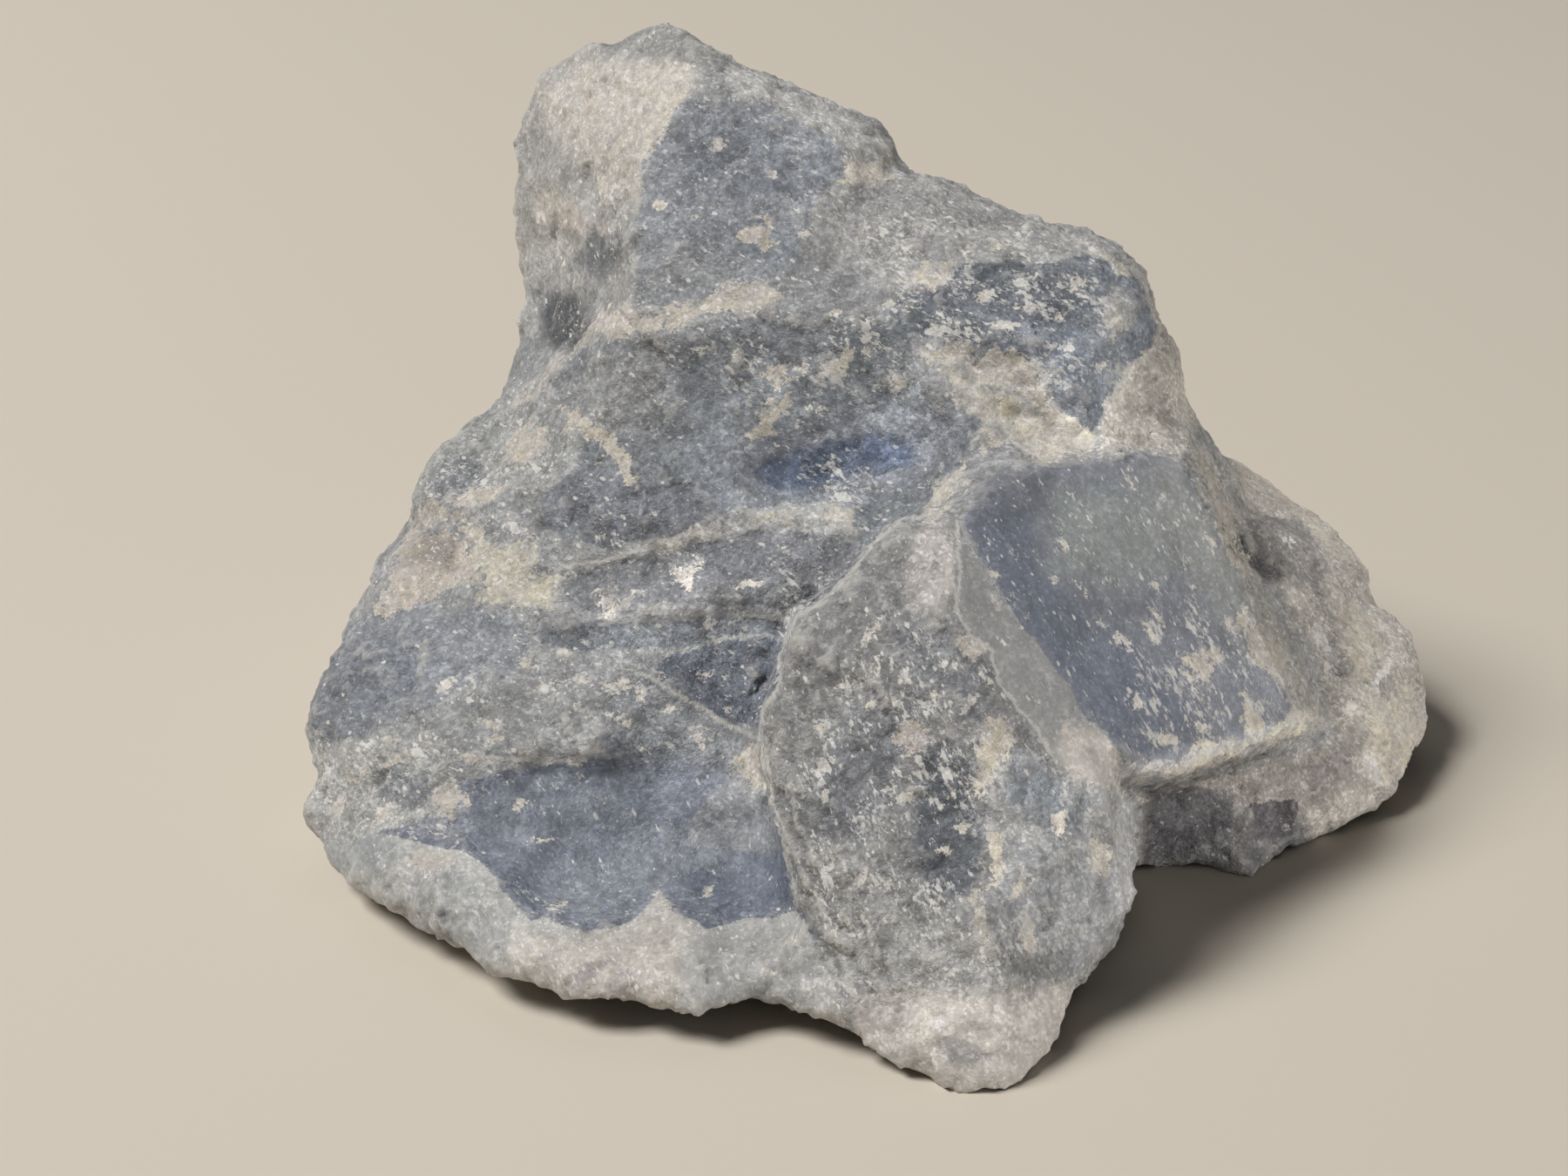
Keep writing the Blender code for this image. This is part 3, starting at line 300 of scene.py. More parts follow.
# Dark faces with crisp borders over the ground: tint, outline, and inner shades (softness, tint, outline).
FACES = {
    "head": (
        (134, 136, 139),
        [(-7, 12.9), (-6.9, 15), (-6.9, 17), (-6.6, 18.4), (-6.2, 19.6), (-5.8, 20.8), (-5.2, 21.7), (-4.5, 22.3),
            (-3.6, 22.9), (-2.4, 22.7), (-0.6, 22), (1.2, 21.2), (2.6, 20.3), (2.9, 19.4), (2.2, 18.6), (1.4, 17.9),
            (1.2, 16.9), (0.9, 15.9), (0.6, 15), (-0.2, 14.4), (-1.2, 14.2), (-2.6, 13.8), (-4, 13.2), (-5.6, 12.9)],
        [
            (0.9, (122, 125, 130), [(-5, 20.8), (-3.4, 22), (-0.6, 21.2), (1.8, 20), (1.6, 18.6), (-0.6, 17.4),
                (-4.2, 18)]),
            (0.4, (114, 118, 123), [(-2, 16.2), (-1, 16.8), (0.5, 15.8), (-0.4, 14.9), (-1.8, 15.1)]),
            (0.9, (135, 136, 137), [(-6.8, 12.8), (-6.6, 16.4), (-3.8, 15.4), (-1.6, 14.6), (-1.6, 13.6)]),
        ],
    ),
    "F face": (
        (105, 109, 114),
        [(4.8, 12.6), (5.4, 13.4), (7.2, 13.7), (8, 14.6), (9.6, 15.1), (11.4, 15), (13.4, 15.1), (14.9, 14.8),
            (16, 14.2), (16.6, 13.4), (16.9, 12.2), (16.9, 10.9), (15.6, 10.3), (14.8, 8.6), (14.6, 7.6), (13.8, 7),
            (12.9, 8), (12.3, 9.3), (11, 10.2), (9.2, 11), (7.4, 11.6), (5.4, 11.8)],
        [(0.25, (146, 145, 141), [(15, 13.9), (15.8, 13.6), (16.1, 12.2), (15.6, 11.7), (15.1, 12.4)]),
            (0.7, (98, 102, 109), [(9.4, 12.4), (12, 13.6), (13.8, 11.6), (13.8, 8), (12.4, 9.8), (10, 11.2)])],
    ),
    "G face": (
        (116, 119, 122),
        [(-10.8, 9.5), (-9.8, 10.5), (-8.6, 11.2), (-6.6, 11.6), (-5.2, 12.1), (-3.4, 12.2), (-0.8, 12.2),
            (1.4, 11.9), (3.4, 12.2), (5, 12), (5.9, 11.2), (6.1, 10.2), (7.2, 9.3), (8.2, 8.3), (8.7, 7.4),
            (8.8, 6.4), (8.2, 5.6), (7, 5.1), (6.9, 4.4), (6.4, 3.4), (5.6, 2.6), (4.4, 1.8), (3.4, 2.3), (3.2, 3.3),
            (1.6, 3.9), (0.2, 4), (-1.6, 3.7), (-3, 3.2), (-4.4, 2.8), (-5.8, 2.3), (-7.6, 1.9), (-9.6, 2.1),
            (-11.2, 3), (-11, 4.2), (-10, 5), (-9.4, 6), (-9.2, 7.2), (-10.2, 8.2)],
        [
            (0.9, (134, 134, 133), [(-10.8, 9), (-8.2, 11), (-5.4, 11.4), (-5.2, 9.2), (-6.4, 7.2), (-9.4, 7)]),
            (0.7, (111, 113, 118), [(-11.2, 3.2), (-9.8, 5.2), (-7, 5.4), (-4, 4.6), (-4.2, 3), (-7.4, 2)]),
            (0.7, (108, 110, 114), [(-3.8, 5.8), (-1, 7.4), (3.4, 8.6), (7.6, 8.2), (8.8, 6.6), (7.4, 5), (4, 4),
                (-1, 4.2)]),
            (0.35, (77, 85, 99), [(-1.3, 5.3), (0.4, 6.4), (2.6, 7), (4.8, 7), (6, 6.4), (5.6, 5.6), (3.2, 5.3),
                (1.4, 4.5), (-0.4, 4.5)]),
        ],
    ),
    "band two": (
        (116, 117, 119),
        [(-10.2, -0.4), (-9.4, 0.5), (-8, 1), (-6.6, 1.4), (-4.4, 1.9), (-2.6, 2.2), (-0.8, 2.6), (1.2, 2.7),
            (2.6, 2.3), (3.6, 1.9), (4.2, 1.4), (2.4, -1), (1, -1.6), (0.2, -1.1), (-1.6, -0.7), (-3.4, -0.9),
            (-5.6, -0.9), (-8.4, -1.2)],
        [(0.7, (108, 109, 112), [(-4, 1.6), (-0.6, 2.3), (1.8, 2), (1.6, 0.6), (-2.6, -0.2), (-5, 0.4)])],
    ),
    "band three": (
        (109, 112, 116),
        [(-11.4, -1.9), (-9.2, -1.6), (-6, -1.5), (-3, -1.2), (0.2, -1.5), (0.9, -2.2), (-0.4, -2.15), (-2.2, -2.2),
            (-4.6, -2.7), (-7.6, -2.8), (-11, -2.7)],
        [],
    ),
    "pocket": (
        (99, 103, 111),
        [(-6.1, -3.8), (-5.2, -3.2), (-4.2, -2.8), (-2.2, -2.5), (-0.6, -2.4), (0.8, -2.6), (0.6, -4.8), (-0.4, -6.2),
            (-1.3, -6.6), (-1.7, -6.3), (-2.6, -6), (-3.6, -5.6), (-4.8, -4.7)],
        [],
    ),
    "hump": (
        (124, 126, 129),
        [(-22.2, -6), (-21.2, -3.6), (-19.2, -0.9), (-17, -0.9), (-15.2, -1.2), (-13.6, -1), (-12, -1.8), (-11.8, -3),
            (-13, -3.9), (-14.6, -4.3), (-15.6, -4.9), (-16.4, -5.9), (-18.2, -6.2), (-19.4, -6.9), (-21.4, -7)],
        [(0.8, (112, 115, 120), [(-20.4, -3.2), (-18, -2.2), (-16.4, -3.4), (-16.8, -5.2), (-19.4, -6.2),
            (-21, -5.6)])],
    ),
    "pool": (
        (116, 120, 129),
        [(-15.3, -9.4), (-14.4, -8.8), (-13.2, -8.5), (-11, -8.1), (-8.6, -7.7), (-8.2, -6.6), (-8.6, -5.8),
            (-7.6, -4.6), (-6.2, -4.1), (-4.8, -5.1), (-3.4, -6), (-2, -6.8), (-1.7, -7.4), (-2.6, -8.1), (-2.2, -9),
            (-0.9, -9.3), (0.6, -9.6), (1.4, -12.4), (2, -16.4), (-2, -17), (-8.8, -17), (-12.4, -16.4), (-14.4, -14),
            (-17.8, -12.2), (-18.6, -11.2), (-16.6, -10.6), (-15.4, -10.6)],
        [
            (0.9, (131, 133, 135), [(-8.6, -4), (-6, -3.6), (-1, -6.8), (-2, -8.6), (-5, -7.8), (-8.4, -7.2)]),
            (0.8, (124, 128, 134), [(-11, -13.4), (-6.4, -12.2), (-4.6, -11.8), (-3.4, -12.6), (-5.8, -13.8),
                (-8.2, -15.2), (-10.8, -15.2)]),
            (0.5, (106, 112, 124), [(-4.6, -13.2), (-1.8, -12.5), (-0.1, -12.4), (0.6, -14.4), (-2.2, -15.2),
                (-4, -14.8)]),
            (0.7, (117, 121, 129), [(-14.8, -9.4), (-11.4, -8.6), (-7.4, -8.6), (-5.4, -9.8), (-6.6, -11.2),
                (-10.8, -12), (-12.8, -12.6), (-14.8, -10.8)]),
            (0.12, (143, 144, 146), [(-4.2, -10.4), (-2.4, -8.9), (-0.7, -9.2), (-0.2, -11.9), (-2.2, -12.1),
                (-4.7, -11.8)]),
            (0.3, (126, 128, 132), [(-17.6, -10.9), (-15.4, -10.2), (-14.8, -11.2), (-15.4, -11.8)]),
        ],
    ),
    "lump facet": (
        (120, 116, 112),
        [(21.1, 3.1), (23.4, 3.3), (25, 1.5), (24.8, -0.2), (23.4, 0.65), (21.6, 1.9)],
        [],
    ),
    "lump facet two": (
        (136, 131, 125),
        [(24.8, -0.9), (26.5, -1.6), (26.9, -3.4), (25.5, -4.1), (24.6, -2.7)],
        [],
    ),
    # Painted shade: a dark facet under the lump, in the shade of the overhang.
    "under facet shade": (
        (80, 77, 79),
        [(21.3, -9.9), (23.4, -9.9), (23.6, -11.3), (21.6, -11.5)],
        [],
    ),
    "window": (
        (121, 123, 128),
        [(8.2, 2.7), (8.7, 3.9), (9.3, 4.9), (10.6, 5.7), (12, 5.7), (13.2, 5.5), (14.6, 5.8), (16, 6.1), (17.4, 6),
            (18.2, 5.7), (19, 4.5), (20, 3.1), (20.5, 1.6), (21, 0.2), (21.6, -1.3), (22.4, -2.8), (23.1, -4.4),
            (23.5, -5.6), (22, -6.6), (20.4, -7), (18.4, -7.9), (16.6, -8.3), (15.3, -7.4), (14.6, -6.6),
            (13.8, -5.8), (13, -4.4), (12.1, -3.1), (11.1, -1.8), (10, -0.1), (9.1, 1.2)],
        [
            # Painted highlight: the soft grey-green glow of light coming back out of the crystal, in the middle of
            # the window.
            (1.2, (138, 141, 138), [(12.4, 4.2), (15.4, 4.8), (17.6, 3.2), (17.6, 0.8), (15.6, 0), (12.6, 0.7)]),
            (1.2, (146, 146, 143), [(16.4, 5.4), (18.2, 5.8), (20.4, 2.6), (21.4, 0.2), (23, -3.4), (20.8, -2.2),
                (18.6, 0.4), (17.2, 2.6)]),
            (0.7, (106, 110, 119), [(8.4, 2.7), (9.6, 4.4), (11, 3.4), (11.8, 0.6), (13.8, -1.2), (16, -2.8),
                (18, -4.6), (19, -6.8), (17, -8.4), (15, -7.2), (13.2, -4.8), (11.2, -2.2)]),
        ],
    ),
}

# Nearer pieces of the front that lie over those faces, in the same form.
FRONT = {
    "wedge": (
        (133, 132, 130),
        [(7.6, 3.7), (6.7, 3.4), (5.3, 3.1), (4.2, 2.1), (3.3, 1), (2.5, 0.1), (1.5, -0.8), (0.6, -1.2), (0.2, -2.1),
            (0.1, -2.7), (-0.3, -3.3), (-0.2, -4), (-0.5, -5), (-1, -5.6), (-1.2, -6.5), (-0.9, -7.6), (-0.7, -8.9),
            (-0.5, -10), (-0.1, -11), (0.1, -12.2), (0.3, -13.4), (0.7, -14.6), (1.2, -15.6), (2, -17.2),
            (2.8, -18.6), (3.2, -20.4), (4, -22.4), (7, -24.8), (12, -24.8), (14.4, -19.4), (16.6, -14.6),
            (16.2, -12), (16.4, -10.2), (15.7, -8.4), (15.5, -7.6), (14.6, -6.7), (13.8, -5.9), (13, -4.5),
            (12.1, -3.2), (11.1, -1.9), (10, -0.2), (9.1, 1.1), (8.2, 2.6)],
        [
            (0.7, (115, 116, 118), [(4.4, -0.8), (7.6, -2.2), (9.2, -4), (9.2, -6), (6.6, -5.8), (3, -5.6),
                (1.2, -8.4), (1, -11.6), (3.6, -11.8), (5.4, -8.4), (5.8, -4.8)]),
            (0.4, (93, 96, 100), [(6.2, -7.6), (7.4, -6.9), (8.4, -7.4), (9, -9.4), (9.2, -12.2), (8.4, -14.2),
                (6.8, -14.4), (5.9, -11.6)]),
            (0.5, (114, 117, 120), [(10.4, -7.2), (12.2, -8.6), (14.4, -9.9), (13.4, -11.4), (11.4, -11.2),
                (10.2, -9.6)]),
            (0.6, (136, 136, 136), [(10.4, -11.4), (13.6, -11.8), (15.8, -13.2), (15.2, -15.8), (13.6, -18),
                (11, -16.8), (9.8, -14)]),
            (0.7, (152, 150, 146), [(0.6, -11), (3.6, -12.8), (5.6, -15), (8.6, -15.4), (10.8, -17.6), (10.4, -19),
                (6, -19.2), (3.2, -19), (1.4, -16)]),
            (0.5, (176, 170, 162), [(3, -18.8), (6.2, -18.4), (9.6, -18.6), (12.8, -18), (14.6, -18.6), (13, -25.6),
                (7, -25.6), (2.6, -22)]),
            (0.5, (172, 166, 160), [(6.4, 3.4), (7.7, 2.6), (7.9, 0.4), (7.2, -1.2), (5.9, -0.9), (5.6, 0.6),
                (6, 1.8)]),
            (0.3, (138, 135, 132), [(7.2, -20.6), (8.4, -20.8), (9.4, -21.4), (8.8, -22), (7.4, -21.8)]),
            (0.08, (147, 146, 143), [(8.1, 2.8), (8, 0.8), (7.7, -0.9), (8.3, -2.2), (9.4, -2.9), (9.8, -4.4),
                (10.6, -5.4), (11.4, -6.4), (12.2, -7.6), (13.6, -8.4), (14.9, -9.2), (16.4, -8.4), (15, -5),
                (12, -1), (9.6, 2.2)]),
            (0.4, (174, 168, 160), [(12.4, -7.8), (12.8, -6.6), (14.2, -6.4), (15.9, -7.4), (15.4, -9.4),
                (13.6, -8.9)]),
        ],
    ),
    "lip": (
        (172, 170, 165),
        [(-22.6, -12), (-18.4, -11.25), (-16.5, -11.8), (-14.8, -12.1), (-13.5, -12.8), (-13, -13.6), (-12.3, -14.5),
            (-11.6, -15.3), (-11, -15.1), (-10, -15.5), (-9, -15.8), (-8, -15.6), (-7, -15.2), (-6.3, -14.7),
            (-5.8, -14.1), (-5, -14.9), (-4.2, -15.3), (-3.5, -15.7), (-2.5, -15.4), (-1.8, -15.2), (-0.5, -15.2),
            (0.5, -14.8), (1, -15.6), (1.8, -17.2), (2.5, -18.6), (2.8, -20.4), (3, -23), (-14, -23), (-25, -15)],
        [
            (0.5, (156, 156, 153), [(-16.2, -12.8), (-13.6, -13.4), (-12.4, -15), (-12.8, -16.6), (-15.2, -16.2),
                (-17, -14.6)]),
            (0.5, (179, 173, 164), [(-12.4, -15.6), (-9, -16), (-5.6, -14.6), (-3.4, -16.2), (-4, -18), (-6.4, -20.4),
                (-13.6, -19)]),
            (0.5, (160, 159, 155), [(-4.4, -16), (-1, -15.6), (0.8, -15.6), (2.2, -18.2), (0.6, -20), (-3.4, -20.2),
                (-4.6, -18.2)]),
            (0.5, (152, 153, 151), [(-23, -11.4), (-18.6, -11), (-17.2, -12), (-18.6, -13), (-23, -13)]),
        ],
    ),
}

# Thin pale lines where an edge of the break is worn.
RIMS = [
    [(-0.7, -7.1), (-1.8, -6.7), (-3, -6), (-4.7, -5), (-6.2, -4.1), (-7.4, -3.6)],
    [(-14.8, -7.7), (-12.6, -7.9), (-10.4, -8), (-8.4, -7.4)],
    [(6.8, 3.4), (5.3, 3.1), (4.2, 2.1), (3.3, 1), (2.5, 0.1), (1.5, -0.8), (0.6, -1.2), (0.2, -2.1), (-0.2, -3.2),
        (-0.2, -4), (-0.5, -5), (-1, -5.6), (-1.1, -6.5), (-0.8, -7.6), (-0.5, -10), (0.1, -12.2), (0.6, -14.6)],
    [(11.8, 16.8), (13.2, 16.1), (14.6, 15.3), (16.3, 14.4)],
    [(-10.6, 0.9), (-8, 1.3), (-6, 1.9), (-4.2, 2.6)],
    [(-8.4, -1.6), (-6, -1.5), (-3, -1.2), (0.2, -1.4)],
    [(7.9, 2.9), (8.1, 0.9), (7.9, -0.9), (8.5, -2.2), (9.5, -2.9), (9.9, -4.4), (10.7, -5.4), (11.5, -6.4),
        (12.3, -7.6)],
    [(15.6, -8.6), (17.8, -8.4), (19.6, -7.7), (21.4, -7.1), (23.6, -6)],
    [(2, -17), (2.6, -18.2), (3.4, -18.8), (5.6, -18.9)],
]

# Painted light and shade: how much lighter or darker the rock is painted in places. It is lighter where the lamps
# leave it in shade (right-facing sides, low faces, under overhangs) and darker where they light it most (peak, brow,
# shoulder). Olive, the vein seams, the knob, the dark lobe spots, the fibres and pink are the rock's own colour.
# Factor, or one each for red, green and blue; softness; outline.
LIGHT_AND_TINT_LIFTS = {
    "slope": (1.42, 1, [(-5, 7), (0, 11.5), (7, 9.6), (7.8, 7), (4.8, 4.6), (2, 2.4), (0.6, 0.4), (-1.2, -1.6),
        (-4, -3.2), (-9, -3), (-9, -1.2), (-3, 2.6), (-4, 5)]),
    "slope right": (1.65, 0.7, [(3.6, 8.2), (7.4, 8.6), (8.4, 7.2), (6.4, 5.8), (4.2, 5)]),
    "slope low": (1.36, 0.5, [(-8, -1.2), (0.6, -1.2), (0.8, -2.4), (-4, -3), (-8, -2.8)]),
    "pool high": (1.3, 0.8, [(-9, -6.4), (-5, -5.4), (-2, -7), (-2.2, -9.2), (-5, -10.6), (-10, -10.2), (-12, -8.6)]),
    "pool low": (0.88, 0.8, [(-4.8, -12.4), (0, -12), (0.6, -15), (-4, -15.6)]),
    "brow": (0.83, 0.6, [(-19, -6.2), (-14, -4.8), (-9, -4.8), (-9, -6), (-13, -7.4), (-18, -7.4)]),
    "lip cream": (0.88, 0.6, [(-13, -15.4), (-6, -15), (-4, -17), (-7, -20), (-13, -18)]),
    "left rim": (0.95, 1, [(-24, -9), (-17, -10), (-14, -14), (-18, -18), (-25, -14)]),
    "peak": (0.78, 0.6, [(-9, 26), (-3, 26), (-3, 24), (-9, 24.4)]),
    "shoulder": (0.88, 1, [(1, 19), (6, 19.4), (14, 16), (9, 14.4), (1, 14)]),
    "pink": (0.55, 0.5, [(-17.6, 0.9), (-16.4, 2.8), (-15.2, 2.2), (-15.2, 0.9)]),
    "F low": (1.9, 0.8, [(11, 12), (16.4, 12), (16, 9), (14.6, 6.8), (13, 7.4), (11, 10.4)]),
    "F edge": (1.3, 0.6, [(13, 15.4), (16.4, 14.6), (17, 12), (15, 12)]),
    "right cream": (1.22, 0.6, [(14.6, 10), (17.2, 11.4), (19, 7), (18, 6), (14.2, 6.2)]),
    "wedge right": (1.6, 0.8, [(9.4, -7), (12.4, -8), (16, -9.6), (16.2, -14), (14, -18), (10, -16), (8.8, -11)]),
    "wedge left": (0.86, 0.8, [(2.6, 0), (6, 2.6), (6, -2), (0.6, -6), (-0.6, -5), (0.2, -2)]),
    "tip": (1.26, 0.8, [(3, -18.6), (13.4, -18), (14.6, -19), (11, -25), (4, -24)]),
    "bevel": (0.9, 0.4, [(8, 2.6), (7.8, -1.4), (12.4, -7.4), (14, -6), (11, -1.6)]),
    "window top": (0.72, 0.6, [(8.4, 3), (9.4, 5.2), (12.6, 5.6), (12, 3.6), (10, 2.6)]),
    "window deep": (1.24, 0.8, [(13, -2.4), (16, -1.6), (19, -3), (23, -3), (23.6, -6), (16.6, -8.6), (14, -6)]),
    "window low": (0.96, 0.8, [(18, -2), (22, -1), (23.8, -5.8), (19, -7)]),
    "window foot": (1.9, 0.4, [(24.2, -5.6), (24, -7), (16, -9), (16, -8), (20, -7)]),
    "lump": (1.6, 0.6, [(19.4, 8), (21, 4.9), (22.4, 1.6), (24, -3.4), (24.6, -6.8), (22, -8.2), (15.4, -9.6),
        (15, -15), (30, -16), (34, -4), (28, 6)]),
    "lump middle": (0.74, 0.8, [(23.6, -1), (26, -0.6), (26.6, -4), (25, -6), (24, -4)]),
    "lump low": (1.4, 0.6, [(17, -9.8), (22.4, -8.6), (27, -7.4), (28, -10), (24, -12), (16, -14)]),
    "window": (1.03, 0.6, [(8.4, 2.7), (10.6, 5.7), (18.2, 5.7), (23.5, -5.6), (16.6, -8.3)]),
    "lip left": (0.86, 0.6, [(-19, -11), (-15, -12), (-12.4, -15), (-13, -18), (-20, -16)]),
    "lip right": (0.84, 0.6, [(-4.4, -15.4), (0.8, -15), (2.4, -18), (0, -21), (-4.4, -20)]),
    "tip left": (0.78, 0.7, [(2.6, -19), (6, -18.8), (6.2, -21.6), (4, -23), (2, -21)]),
    "tip right": (1.12, 0.7, [(9.6, -18.6), (13.6, -18), (13, -22), (10, -23.4)]),
    "bevel low": (1.14, 0.4, [(12.6, -6.8), (15, -6.8), (15.4, -9), (13.4, -8.6)]),
    "lobe low": (1.14, 0.6, [(-12, 9), (-8, 12.6), (-7.4, 16), (-12.6, 16)]),
    "window foot right": (1.06, 0.5, [(21.4, -1.4), (23.8, -5.4), (22.4, -6.2), (21.4, -4)]),
    "lobe dark": (0.8, 0.3, [(-11.2, 12.4), (-10.4, 13.5), (-9, 13.4), (-8.4, 12.2), (-9.2, 10.9), (-10.8, 11)]),
    "lobe dark two": (0.8, 0.3, [(-9.6, 15), (-8.8, 16), (-7.5, 16.4), (-7.3, 14.8), (-8.4, 14.1)]),
    "hump rim": (0.84, 0.6, [(-22.4, -5.2), (-21.4, -3.2), (-20, -2.4), (-19, -4), (-19.6, -6.4), (-21.6, -7)]),
    "fibres": (0.72, 0.5, [(-0.6, -9.6), (1, -9.8), (3, -13.6), (2.8, -15.6), (0.8, -14.6), (0, -12)]),
    "lump top": (1.14, 0.6, [(20, 7), (24, 4.4), (26.6, 1.4), (25, 0.6), (22.6, 3), (20, 5)]),
    "olive": ((0.74, 0.72, 0.6), 0.25, [(9.8, 8.5), (10.4, 8.7), (10.8, 8.2), (10.4, 7.7), (9.9, 7.9)]),
    "vein seam": ((0.72, 0.76, 0.82), 0.1, [(7.9, 10.6), (9, 9.3), (10.6, 9.2), (12.6, 7.3), (12.5, 7), (10.5, 8.9),
        (8.9, 9), (7.7, 10.3)]),
    "vein seam two": ((0.76, 0.8, 0.84), 0.08, [(8.6, 7.9), (9.6, 7.5), (11.4, 6.5), (11.3, 6.3), (9.5, 7.2),
        (8.5, 7.6)]),
    "knob": ((0.66, 0.66, 0.6), 0.25, [(4.3, 20.4), (5.2, 20.4), (5.3, 19.5), (4.5, 19.3)]),
    "vein": (1.22, 0.6, [(6, 11), (12, 9.6), (14.4, 6.2), (9, 6), (8.6, 8)]),
    "right side": (1.2, 0.4, [(16.2, 14.8), (17.6, 14.4), (19.8, 7.4), (18.2, 7.4)]),
    "head right": (1.26, 0.7, [(-2.8, 24), (5, 21), (5, 19), (2, 18), (1, 15), (-1, 15.4), (0.6, 19)]),
    "hump": (1.14, 0.8, [(-22, -6), (-19, -1), (-12, -1.4), (-13, -4), (-18, -6.4)]),
    "tan": (1.15, 0.6, [(-18.6, -0.6), (-16.4, 2.6), (-14, 1), (-15, -0.6)]),
}

